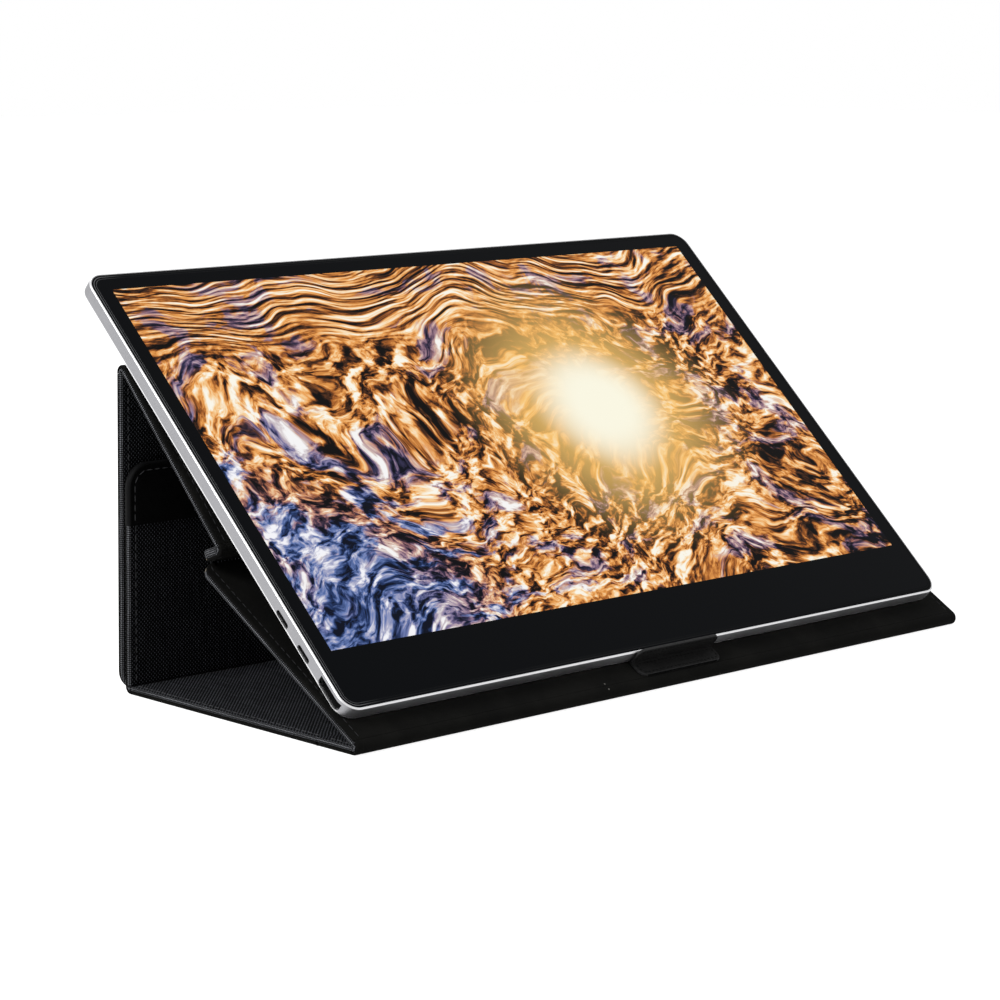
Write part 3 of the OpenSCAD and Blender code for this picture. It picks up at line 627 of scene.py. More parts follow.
class Finishes:
    """Every material of the object, built once."""

    def __init__(self, screen: Plane) -> None:
        """Builds the cloths, leathers, threads, glass and metals.

        Args:
            screen: The glass's plane, from which the shell's machined lip is measured.
        """
        self.canvas = WovenCanvas().build()
        # A darker copy of the canvas for the rear panel and the flap: painted shade, so that the walls inside the stand
        # stay darker than the floor panel.
        self.painted_shade_canvas = WovenCanvas("painted_shade_woven_canvas", warp=(0.036, 0.038, 0.043)).build()
        self.lining = SoftLining().build()
        self.tab_leather = Leather("tab_leather", 0.75, 0.26, (0.0112, 0.0112, 0.0112),
                                   (0.045, 0.045, 0.046), 0.55).build()
        self.band_leather = Leather("band_leather", 0.55, 0.03, (0.0012, 0.0012, 0.0013),
                                    (0.006, 0.006, 0.0065), 0.5).build()
        self.pale_thread = Thread("pale_thread", (0.13, 0.132, 0.138)).build()
        self.grey_thread = Thread("grey_thread", (0.042, 0.043, 0.046)).build()
        self.dark_thread = Thread("dark_thread", (0.0004, 0.0004, 0.0004)).build()
        self.metal = BlastedAluminium(screen).build()
        self.glass = DisplayGlass().build()
        self.glass_edge_highlight = GlassEdgeHighlight().build()
        self.plain = {one.slot: one.build() for one in PLAIN}


# ---------------------------------------------------------------- meshes


def placed(name: str, data: bpy.types.ID) -> Object:
    """Puts an object round its data at the origin of the scene."""
    made = bpy.data.objects.new(name, data)
    bpy.context.scene.collection.objects.link(made)
    return made


def walked(line: np.ndarray) -> np.ndarray:
    """Distance along a line of points from its first one."""
    return np.concatenate([[0.0], np.cumsum(np.linalg.norm(np.diff(line, axis=0), axis=1))])


@dataclass
class Mesh:
    """Points, faces and charts of one piece, in millimetres, before it becomes an object."""

    points: np.ndarray
    faces: list[list[int]]
    chart: np.ndarray
    highlight_and_wear: np.ndarray | None = None
    looks: list[int] | None = None
    chart_name: str = CLOTH
    chart_scale: float = MM

    def piece(self, name: str, materials: list[Material], sharp: float = 40.0, outward: bool = True) -> Object:
        """Makes the object, at the origin, with its place in its mesh.

        Args:
            name: Name of the piece.
            materials: Its materials, in the order that looks counts them.
            sharp: Angle in degrees above which an edge stays crisp.
            outward: Works out anew which way the faces point.

        Returns:
            The object, linked to the scene.
        """
        mesh = bpy.data.meshes.new(name)
        mesh.from_pydata((self.points * MM).tolist(), [], self.faces)
        layer = mesh.uv_layers.new(name=self.chart_name)
        corners = np.zeros(len(mesh.loops), dtype=np.int64)
        mesh.loops.foreach_get("vertex_index", corners)
        layer.data.foreach_set("uv", (self.chart[corners] * self.chart_scale).astype(np.float32).ravel())
        if self.highlight_and_wear is not None:
            mesh.attributes.new(HIGHLIGHT_AND_WEAR, "FLOAT", "POINT").data.foreach_set("value", self.highlight_and_wear.astype(np.float32))
        if self.looks is not None:
            mesh.polygons.foreach_set("material_index", self.looks)
        for material in materials:
            mesh.materials.append(material)
        if outward:
            turn_outward(mesh)
        mesh.shade_smooth()
        mesh.set_sharp_from_angle(angle=math.radians(sharp))
        return placed(name, mesh)


def turn_outward(mesh: bpy.types.Mesh, merge: float = 0.0, flatten: float = 0.0) -> None:
    """Points a closed mesh's faces outwards.

    Args:
        mesh: The mesh that is changed.
        merge: Joins points closer than this many metres first.
        flatten: Joins faces that meet at less than this many degrees first.
    """
    work = bmesh.new()
    work.from_mesh(mesh)
    if merge:
        bmesh.ops.remove_doubles(work, verts=work.verts, dist=merge)
    if flatten:
        bmesh.ops.dissolve_limit(work, angle_limit=math.radians(flatten), verts=work.verts, edges=work.edges)
    bmesh.ops.recalc_face_normals(work, faces=work.faces)
    work.to_mesh(mesh)
    work.free()
    mesh.update()


def grid_faces(rows: int, columns: int, round_columns: bool = True) -> list[list[int]]:
    """Quads of a grid of points counted row by row; round_columns joins the last column to the first."""
    row = np.arange(rows - 1)[:, None] * columns
    column = np.arange(columns if round_columns else columns - 1)[None, :]
    beside = (column + 1) % columns
    quads = np.stack([row + column, row + beside, row + columns + beside, row + columns + column], axis=-1)
    return quads.reshape(-1, 4).tolist()


def tube_faces(rows: int, around: int) -> list[list[int]]:
    """Faces of a closed tube of equal rings, with its two ends."""
    ends = [list(range(around))[::-1], list(range((rows - 1) * around, rows * around))]
    return grid_faces(rows, around) + ends


def ellipse(centre: tuple[float, float], reach: tuple[float, float], first: float, last: float,
            steps: int) -> np.ndarray:
    """Points (inset, height) round an ellipse; angle 0 faces the skin, 90 the rim and 180 the lining."""
    turn = np.radians(np.linspace(first, last, steps + 1))
    return np.stack([centre[0] - reach[0] * np.sin(turn), centre[1] - reach[1] * np.cos(turn)], axis=1)


@dataclass(frozen=True)
class Plane:
    """A panel's plane: its fold line as (rear, up) in millimetres and its slope in degrees."""

    origin: tuple[float, float]
    slope: float
    middle: float = 0.0

    def along(self) -> np.ndarray:
        """Unit (rear, up) vector away from the fold line."""
        return np.array([math.cos(math.radians(self.slope)), math.sin(math.radians(self.slope))])

    def across(self) -> np.ndarray:
        """Unit (rear, up) vector from skin to lining."""
        along = self.along()
        return np.array([-along[1], along[0]])

    def place(self, local: np.ndarray) -> np.ndarray:
        """Local (x, y, z) points as points of the row: y goes along the slope and z across it."""
        flat = np.asarray(self.origin) + local[:, 1:2] * self.along() + local[:, 2:3] * self.across()
        return np.column_stack([local[:, 0] + self.middle, flat])


@dataclass(frozen=True)
class Outline:
    """A rounded rectangle in a panel's plane; an end is either hemmed like the sides or runs into a fold."""

    width: float
    start: float
    end: float
    start_radius: float = 2.5
    end_radius: float = 2.5
    start_folds: bool = True
    end_folds: bool = True
    spacing: float = 5.0
    corner_steps: int = 8
    least_radius: float = 0.12
    stitch_end: float = 1.5

    def _corners(self) -> list[tuple[int, int, float, bool]]:
        """Side, end, radius and fold of each corner, counter-clockwise from the right of the start."""
        low = (-1, self.start_radius, self.start_folds)
        high = (1, self.end_radius, self.end_folds)
        return [(1, *low), (1, *high), (-1, *high), (-1, *low)]

    def ring(self, side: float, fold: float) -> np.ndarray:
        """Points of the outline, set in by side where it is hemmed and by fold where it runs into a fold.

        Args:
            side: Inset of the sides and of a hemmed end.
            fold: Inset of an end that runs into a fold.

        Returns:
            An array of (x, y), counter-clockwise; every inset gives as many points.
        """
        arcs = []
        for ways, (sign, end, radius, folds) in zip(self._turns(), self._corners()):
            inset = fold if folds else side
            r = max(radius - max(side, inset), self.least_radius)
            base = self.end - inset - r if end > 0 else self.start + inset + r
            arcs.append(np.array([sign * (self.width / 2 - side - r), base]) + r * ways)
        parts = []
        for here, after, count in zip(arcs, arcs[1:] + arcs[:1], self._counts()):
            parts += [here, np.linspace(here[-1], after[0], count + 1)[1:-1]]
        return np.concatenate(parts)

    def _turns(self) -> list[np.ndarray]:
        """Outward unit vectors round each corner."""
        angles = [np.radians((turn - 1) * 90 + np.linspace(0, 90, self.corner_steps + 1)) for turn in range(4)]
        return [np.stack([np.cos(angle), np.sin(angle)], axis=1) for angle in angles]

    def _counts(self) -> list[int]:
        """How many steps follow each corner."""
        return [max(2, round(length / self.spacing)) for length in (self.end - self.start, self.width) * 2]

    def facing(self) -> np.ndarray:
        """Outward unit vectors of the ring's points."""
        parts = [np.concatenate([ways, np.tile(ways[-1], (count - 1, 1))])
                 for ways, count in zip(self._turns(), self._counts())]
        return np.concatenate(parts)

    def sewn(self, inset: float) -> list[np.ndarray]:
        """The hemmed stretches of the outline, set in to a stitch groove, in order from the first fold."""
        ring = self.ring(inset, self.stitch_end)
        if not (self.start_folds or self.end_folds):
            return [np.concatenate([ring, ring[:1]])]
        kept = self.hemmed() > 0.5
        first = int(np.argmax(~kept))
        ring, kept = np.roll(ring, -first, axis=0), np.roll(kept, -first)
        edges = np.flatnonzero(np.diff(np.concatenate([[0], kept.astype(int), [0]])))
        return [ring[a:b] for a, b in zip(edges[::2], edges[1::2]) if b - a > 2]

    def hemmed(self) -> np.ndarray:
        """1 at the ring's points that are hemmed, 0 along a fold, eased round the corners between them."""
        facing = self.facing()
        to_fold = np.where(facing[:, 1] > 0, self.end_folds, self.start_folds)
        share = np.clip(np.abs(facing[:, 0]) * 1.5, 0, 1)
        return np.where(to_fold, share * share * (3 - 2 * share), 1.0)


@dataclass(frozen=True)
class Rim:
    """Cross-section of a sheet from the middle of one face, round its rim, to the middle of the other.

    Rows are (inset from the outline, height); hem holds along the sides and fold along a fold.
    """

    hem: np.ndarray
    fold: np.ndarray
    highlight_and_wear: np.ndarray

    def sheet(self, outline: Outline, plane: Plane, wave: float = 0.0) -> Mesh:
        """Carries the section round an outline: point = ring(inset) at the height of hem and fold mixed.

        Args:
            outline: The rim's line.
            plane: Where the sheet lies.
            wave: How far the roll of the hem wanders, by two sines of different lengths.

        Returns:
            The closed sheet.
        """
        hemmed = outline.hemmed()
        facing = outline.facing()
        base = outline.ring(0.0, 0.0)
        run = walked(base)
        wander = wave * (np.sin(run / 7.3) + 0.6 * np.sin(run / 3.1 + 1.0))
        points, chart, highlight_and_wear = [], [], []
        reached = self.hem[0, 0] - walked(self.hem)
        for hem, fold, highlit_and_worn, far in zip(self.hem, self.fold, self.highlight_and_wear, reached):
            flat = outline.ring(hem[0], fold[0])
            height = hemmed * (hem[1] + highlit_and_worn * wander) + (1 - hemmed) * fold[1]
            points.append(np.column_stack([flat, height]))
            chart.append(flat + facing * (hem[0] - far) if far < hem[0] else flat)
            highlight_and_wear.append(highlit_and_worn * hemmed)
        return Mesh(plane.place(np.concatenate(points)), tube_faces(len(points), len(base)), np.concatenate(chart),
                    np.concatenate(highlight_and_wear))


def stacked(stations: list[tuple[float, np.ndarray]]) -> Mesh:
    """Joins equal closed sections, each at its place along X, into one solid.

    Args:
        stations: Place along X and section, as (rear, up) points, of each station in turn.

    Returns:
        The closed solid, with its cloth map along X and round the middle section.
    """
    count = len(stations[0][1])
    points = np.concatenate([np.column_stack([np.full(count, x), flat]) for x, flat in stations])
    middle = stations[len(stations) // 2][1]
    run = walked(middle)
    chart = np.concatenate([np.column_stack([np.full(count, x), run]) for x, _ in stations])
    return Mesh(points, tube_faces(len(stations), count), chart, np.zeros(len(points)))


@dataclass(frozen=True)
class StitchRow:
    """A row of stitches: each a small spindle lying in the groove that it pulled."""

    pitch: float = 4.0
    length: float = 3.1
    thick: float = 0.44
    high: float = 0.38
    round_steps: int = 6
    long_steps: int = 5

    def spindle(self) -> tuple[np.ndarray, np.ndarray, list[list[int]]]:
        """One stitch: at t from -1 to 1 along it, its section is an ellipse of sqrt(1 - t^4) size."""
        t = np.linspace(-0.97, 0.97, self.long_steps)
        size = np.sqrt(1 - t**4)
        turn = np.arange(self.round_steps) / self.round_steps * math.tau
        x = np.repeat(t * self.length / 2, self.round_steps)
        y = (size[:, None] * np.cos(turn) * self.thick / 2).ravel()
        z = (size[:, None] * np.sin(turn) * self.high / 2).ravel()
        chart = np.column_stack([np.tile(turn / math.tau * self.thick * 3, self.long_steps), x])
        return np.column_stack([x, y, z]), chart, tube_faces(self.long_steps, self.round_steps)

    def along(self, lines: list[np.ndarray], height: float, plane: Plane) -> Mesh:
        """Sews along lines that lie in a plane.

        Args:
            lines: Arrays of (x, y) points.
            height: Height of the stitches' middle in the plane.
            plane: Where the lines lie.

        Returns:
            All the stitches as one mesh.
        """
        spindle, chart, faces = self.spindle()
        spots, heads = [], []
        for line in lines:
            legs = np.diff(line, axis=0)
            run = walked(line)
            marks = np.arange(self.pitch / 2, run[-1], self.pitch)
            leg = np.clip(np.searchsorted(run, marks) - 1, 0, len(legs) - 1)
            part = (marks - run[leg]) / np.maximum(run[leg + 1] - run[leg], 1e-9)
            spots.append(line[leg] + part[:, None] * legs[leg])
            heads.append(legs[leg] / np.linalg.norm(legs[leg], axis=1, keepdims=True))
        spot, head = np.concatenate(spots), np.concatenate(heads)
        side = np.stack([-head[:, 1], head[:, 0]], axis=1)
        flat = spot[:, None, :] + spindle[None, :, :1] * head[:, None, :] + spindle[None, :, 1:2] * side[:, None, :]
        high = np.broadcast_to(height + spindle[None, :, 2:], (*flat.shape[:2], 1))
        points = np.concatenate([flat, high], axis=2).reshape(-1, 3)
        every = [[corner + stitch * len(spindle) for corner in face]
                 for stitch in range(len(spot)) for face in faces]
        return Mesh(plane.place(points), every, np.tile(chart, (len(spot), 1)))


# ---------------------------------------------------------------- the cover


@dataclass(frozen=True)
class Build:
    """How every panel of the cover is made up."""

    width: float = 370.0
    thick: float = 3.2
    cloth: float = 0.62
    lining: float = 0.66
    roll: float = 1.1
    roll_high: float = 2.1
    lining_inset: float = 0.2
    lining_round: float = 0.65
    stitch_inset: float = 3.7
    lean_gap: float = 0.3
    fold_set: float = 0.15
    seam: float = 0.6
    square: float = 0.6

    def canvas_rim(self, puff: float = 0.0) -> Rim:
        """The woven skin: flat, pulled in at the stitches, rolled round the board and turned under the lining.

        Args:
            puff: How much the roll swells beyond the skin's face.

        Returns:
            The section.
        """
        mid = self.roll_high / 2
        groove = self.stitch_inset
        face = [[groove + 2.2, 0.0], [groove + 0.8, 0.01], [groove + 0.4, 0.06], [groove, 0.1], [groove - 0.4, 0.06],
                [groove - 1.0, -0.02], [self.roll + 0.9, -0.07]]
        roll = ellipse((self.roll, mid), (self.roll, mid + 0.03), 0, 180, 12)
        lip = np.array([[0.1, 0.02], [0.22, -0.04], [0.24, -0.16], [0.2, -0.3]]) + [self.roll, self.roll_high]
        inner = ellipse((self.roll, mid), (self.roll - 0.6, mid - self.cloth), 180, 0, 6)
        back = [[groove + 2.2, self.cloth]]
        hem = np.concatenate([face, roll, lip, inner, back])
        swell = np.clip(1 - hem[:, 1] / mid, 0, 1) * np.clip((groove - hem[:, 0]) / 1.2, 0, 1)
        hem[:, 1] -= puff * swell
        flat_face = [[1.3 - 0.1 * i, 0.0] for i in range(len(face))]
        flat_roll = ellipse((0.35, 0.35), (0.35, 0.35), 0, 90, 6).tolist()
        flat_roll += ellipse((0.35, 1.4), (0.35, 0.35), 90, 180, 5).tolist() + [[0.42, 1.75]]
        flat_lip = [[0.6, 1.75], [0.85, 1.75], [0.9, 1.65], [0.85, 1.5]]
        flat_inner = ellipse((1.1, mid), (0.35, mid - self.cloth), 165, 15, 6)
        flat_back = [[1.3, self.cloth]]
        fold = np.concatenate([flat_face, flat_roll, flat_lip, flat_inner, flat_back])
        # The rows of the roll take the hem's painted highlight; the face and the turned-under cloth take none.
        highlight_and_wear = np.concatenate([np.zeros(len(face)), [0.1, 0.6], np.ones(len(roll) - 2), [0.8, 0.4, 0, 0],
                              np.zeros(len(inner) + 1)])
        return Rim(hem, fold, highlight_and_wear)

    def lining_rim(self) -> Rim:
        """The lining: flat, pulled in at the stitches, and rounded down over the turned canvas at the rim."""
        top, round_off = self.thick, self.lining_round
        groove = self.stitch_inset - self.lining_inset
        face = [[groove + 2.4, top], [groove + 0.7, top], [groove + 0.3, top - 0.06], [groove, top - 0.15],
                [groove - 0.3, top - 0.06], [groove - 0.8, top], [round_off + 0.3, top]]
        corner = ellipse((round_off, top - round_off), (round_off, round_off), 180, 90, 6)
        low = self.roll_high + 0.04
        under = [[0.0, low + 0.3], [0.05, low + 0.1], [0.2, low], [0.9, low], [1.1, low + 0.1],
                 [1.1, top - self.lining], [groove + 2.4, top - self.lining]]
        hem = np.concatenate([face, corner, under])
        flat_face = [[0.6 - 0.05 * i, top] for i in range(len(face))]
        flat_corner = [[0.25 - 0.035 * i, top] for i in range(len(corner))]
        flat_under = [[0.0, top - 0.05], [0.0, top - 0.2], [0.0, top - 0.4], [0.02, top - 0.6],
                      [0.06, top - self.lining], [0.2, top - self.lining], [0.6, top - self.lining]]
        fold = np.concatenate([flat_face, flat_corner, flat_under])
        return Rim(hem, fold, np.zeros(len(hem)))


@dataclass
class Panel:
    """One stiff panel of the cover: skin, lining and the stitches through both."""

    name: str
    body: str
    plane: Plane
    outline: Outline
    build: Build
    start_seam: float = 0.6
    end_seam: float = 0.6
    canvas_stitches: bool = True
    lining_stitches: bool = True
    puff: float = 0.0
    # deep gives the panel the darker copy of the canvas, which is painted shade.
    deep: bool = False

    def _lining_outline(self) -> Outline:
        """The lining's outline: inside the hem, and short of each fold by that fold's seam."""
        one, inset = self.outline, self.build.lining_inset
        return Outline(
            one.width - 2 * inset,
            one.start + (self.start_seam if one.start_folds else inset),
            one.end - (self.end_seam if one.end_folds else inset),
            max(one.start_radius - inset, 0.3),
            max(one.end_radius - inset, 0.3),
            one.start_folds, one.end_folds,
        )

    def make(self, looks: Finishes) -> list[Object]:
        """Builds the skin, the lining and the stitches, and puts them on the panel's body.

        Args:
            looks: The object's materials.

        Returns:
            The pieces.
        """
        canvas = self.build.canvas_rim(self.puff).sheet(self.outline, self.plane, wave=0.035)
        # The rear panel and the flap take the darker canvas: painted shade.
        cloth = looks.painted_shade_canvas if self.deep else looks.canvas
        skin = canvas.piece(self.name + "_hemmed_canvas", [cloth], sharp=75)
        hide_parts(self.name + "_canvas")
        soft = self.build.lining_rim().sheet(self._lining_outline(), self.plane)
        lining = soft.piece(self.name + "_soft_lining", [looks.lining], sharp=50)
        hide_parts(self.name + "_lining")
        made = [skin, lining]
        lines = self.outline.sewn(self.build.stitch_inset)
        for wanted, height, side, thread in (
                (self.canvas_stitches, -0.02, "skin", looks.pale_thread),
                (self.lining_stitches, self.build.thick - 0.07, "lining", looks.grey_thread)):
            if wanted:
                row = StitchRow().along(lines, height, self.plane)
                sewn = row.piece(f"{self.name}_{side}_stitches", [thread])
                made.append(sewn)
        for one in made:
            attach(one, self.body)
        return made


@dataclass
class Fold:
    """The soft cloth round a fold line, from one panel's outer face to the next one's."""

    name: str
    node: str
    bodies: tuple[str, str]
    line: np.ndarray
    away: tuple[np.ndarray, np.ndarray]
    out: tuple[np.ndarray, np.ndarray]
    build: Build
    seams: tuple[float, float]
    radius: float
    woven: bool = False
    corner: float = 0.0
    steps: int = 14

    def _arc(self, radius: float) -> np.ndarray:
        """Points round the fold line, from the first panel's outward direction to the second's."""
        first = math.atan2(self.out[0][1], self.out[0][0])
        turn = math.atan2(self.out[0][0] * self.out[1][1] - self.out[0][1] * self.out[1][0],
                          float(self.out[0] @ self.out[1]))
        angle = first + turn * np.linspace(0, 1, self.steps + 1)
        return self.line + radius * np.stack([np.cos(angle), np.sin(angle)], axis=1)

    def _section(self, sink: float, core_radius: float) -> np.ndarray:
        """The wedge between the panels and its two laps over them.

        Args:
            sink: How far the outer face is sunk.
            core_radius: Radius round the fold line that stays free.

        Returns:
            The closed section, as (rear, up) points.
        """
        r, thin = self.radius, self.build.lining
        outer, core = r - sink, self._arc(core_radius)
        lap = [self.line + outer * self.out[i] + self.seams[i] * self.away[i] for i in (0, 1)]
        under = [self.line + (r - thin) * self.out[i] + self.seams[i] * self.away[i] for i in (0, 1)]
        heel = [self.line + (r - thin) * self.out[i] + 0.12 * self.away[i] for i in (0, 1)]
        return np.concatenate([[lap[0]], self._arc(outer), [lap[1], under[1], heel[1]], core[::-1],
                               [heel[0], under[0]]])

    def web(self) -> Mesh:
        """The cloth between the hems: rounded down at its two long edges, and set in where corners are rounded."""
        b = self.build
        edge = b.width / 2 - b.lining_inset - 1.2 * self.corner
        groove, free = b.stitch_inset - b.lining_inset, b.roll_high + 0.04
        turns = np.radians([0, 20, 40, 60, 75, 90])
        soft = b.lining_round + 0.3 * self.corner
        deep = b.lining_round + 0.12 * self.corner
        ease = [(soft * (1 - math.cos(t)), deep * (1 - math.sin(t)), free) for t in turns]
        if self.corner:
            stations = [(inset, sink, 0.25) for inset, sink, _ in ease] + [(30.0, 0.0, 0.25)]
        else:
            stations = ease + [(groove - 0.8, 0.0, free), (groove - 0.79, 0.0, 0.25), (groove - 0.3, 0.06, 0.25),
                               (groove, 0.15, 0.25), (groove + 0.3, 0.06, 0.25), (groove + 0.7, 0.0, 0.25),
                               (30.0, 0.0, 0.25)]
        left = [(-edge + inset, self._section(sink, core)) for inset, sink, core in stations]
        right = [(edge - inset, self._section(sink, core)) for inset, sink, core in reversed(stations)]
        return stacked(left + right)

    def rim(self, side: int) -> Mesh:
        """The rolled canvas hem carried round the fold at one side: an ellipse in radius and X."""
        roll, edge = self.build.roll, self.build.width / 2
        mid = self.build.roll_high / 2
        stations = []
        for turn in np.radians([0, 15, 30, 45, 60, 72, 82, 88]):
            reach = math.cos(turn)
            outer, inner = self._arc(mid + (mid + 0.02) * reach), self._arc(max(mid - (mid - 0.06) * reach, 0.06))
            stations.append((side * (edge - roll + roll * math.sin(turn)), np.concatenate([outer, inner[::-1]])))
        stations.insert(0, (side * (edge - self.build.lining_inset - 0.3), stations[0][1]))
        mesh = stacked(stations)
        # The whole rolled hem takes the painted highlight.
        mesh.highlight_and_wear = np.ones(len(mesh.points))
        return mesh

    def make(self, looks: Finishes) -> list[Object]:
        """Builds the web and, between square corners, the two rims.

        Args:
            looks: The object's materials.

        Returns:
            The pieces.
        """
        web = self.web().piece(self.name + "_web", [looks.canvas if self.woven else looks.lining], sharp=50)
        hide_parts(self.node)
        rims = [self.rim(side).piece(f"{self.name}_hem_{word}", [looks.canvas], sharp=60)
                for side, word in SIDES if not self.corner]
        for one in (web, *rims):
            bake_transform(one)
        return [web, *rims]


@dataclass
class Crease:
    """The flat cloth across the gap between the floor panel and the toe strip, above and below the boards."""

    plane: Plane
    gap: tuple[float, float]
    build: Build
    lap: float = 1.4

    def _strip(self, low: float, high: float, lap: float, inset: float) -> Mesh:
        """A strip between two heights, its long faces crossing the gap by lap and eased at its ends."""
        start, end = self.gap[0] - lap, self.gap[1] + lap
        y = np.concatenate([np.linspace(start, end, 9), np.linspace(end, start, 9)])
        stations = []
        half = self.build.width / 2 - inset
        for x, ease in ((-half, 0.12), (-half + 0.4, 0.0), (half - 0.4, 0.0), (half, 0.12)):
            z = np.concatenate([np.full(9, low + ease), np.full(9, high - ease)])
            flat = self.plane.place(np.column_stack([np.zeros(18), y, z]))[:, 1:]
            stations.append((x, flat))
        return stacked(stations)

    def rim(self, side: int) -> Mesh:
        """The rolled canvas hem carried straight across the gap at one side."""
        roll, mid = self.build.roll, self.build.roll_high / 2
        section = np.concatenate([ellipse((roll, mid), (roll, mid + 0.02), 0, 180, 12),
                                  ellipse((roll, mid), (roll - 0.5, mid - 0.5), 180, 0, 6)])
        places = np.linspace(self.gap[0] - 0.4, self.gap[1] + 0.4, 5)
        x = side * (self.build.width / 2 - section[:, 0])
        points = np.concatenate([np.column_stack([x, np.full(len(x), y), section[:, 1]]) for y in places])
        run = walked(section)
        chart = np.column_stack([np.tile(run, len(places)), points[:, 1]])
        # The whole rolled hem takes the painted highlight.
        return Mesh(self.plane.place(points), tube_faces(len(places), len(section)), chart, np.ones(len(points)))

    def make(self, looks: Finishes) -> list[Object]:
        """Builds the woven strip on top, the soft one beneath and the hems.

        Args:
            looks: The object's materials.

        Returns:
            The pieces.
        """
        b = self.build
        woven = self._strip(-0.06, 0.4, self.lap, b.roll).piece("crease_woven_strip", [looks.canvas], sharp=50)
        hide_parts("crease_web")
        soft = self._strip(b.thick - b.lining, b.thick, 0.0, b.lining_inset).piece(
            "crease_soft_strip", [looks.lining], sharp=50)
        rims = [self.rim(side).piece("crease_hem_" + word, [looks.canvas], sharp=60)
                for side, word in SIDES]
        ends = [self.plane.place(np.array([[0.0, y, 0.0]]))[0] * MM for y in self.gap]
        for one in (woven, soft, *rims):
            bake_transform(one)
        return [woven, soft, *rims]


@dataclass
class FlapBand:
    """The smooth leather that binds the flap's free edge and turns over its hem."""

    plane: Plane
    build: Build
    depth: float = 26.0
    corner: float = 10.0
    leather: float = 0.5
    proud: float = 0.2
    stitch_inset: float = 3.3

    def outline(self) -> Outline:
        """The band's outline, a little proud of the flap's own hem; its lower end is a cut edge."""
        return Outline(self.build.width + 2 * self.proud, -self.proud, self.depth, self.corner + self.proud, 0.5,
                       start_folds=False)

    def rim(self) -> Rim:
        """Flat over the face, pulled in at the stitches and rolled over the hem; square at the cut edge."""
        face, groove = -self.leather, self.stitch_inset
        centre = (self.build.roll + self.proud, 1.2)
        top = [[groove + 4.0, face], [groove + 0.6, face], [groove + 0.3, face + 0.08], [groove, face + 0.2],
               [groove - 0.3, face + 0.08], [groove - 0.6, face], [centre[0] + 0.1, face]]
        roll = ellipse(centre, (centre[0], centre[1] - face - 0.01), 0, 150, 10)
        under = ellipse(centre, (centre[0] - 0.4, centre[1] + 0.08), 150, 0, 5)
        back = [[groove + 4.0, -0.06]]
        hem = np.concatenate([top, roll, under, back])
        cut_top = [[0.9 - 0.08 * i, face] for i in range(len(top))]
        cut_roll = ellipse((0.2, face + 0.2), (0.2, 0.2), 0, 90, 6).tolist()
        cut_roll += [[0.0, face + 0.2 + 0.06 * i] for i in range(1, 5)]
        cut_under = [[0.05 + 0.05 * i, -0.04] for i in range(len(under))]
        fold = np.concatenate([cut_top, cut_roll, cut_under, [[0.9, -0.05]]])
        highlight_and_wear = np.concatenate([np.zeros(len(top)), np.sin(np.linspace(0, math.pi, len(roll))), np.zeros(len(under) + 1)])
        return Rim(hem, fold, highlight_and_wear)

    def make(self, looks: Finishes) -> list[Object]:
        """Builds the band and its stitches on the flap.

        Args:
            looks: The object's materials.

        Returns:
            The pieces.
        """
        band = self.rim().sheet(self.outline(), self.plane).piece("flap_leather_band", [looks.band_leather], sharp=60)
        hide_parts("flap_band")
        sewn = StitchRow().along(self.outline().sewn(self.stitch_inset), -self.leather + 0.06, self.plane)
        row = sewn.piece("flap_band_stitches", [looks.pale_thread])
        for made in (band, row):
            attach(made, "flap")
        return [band, row]


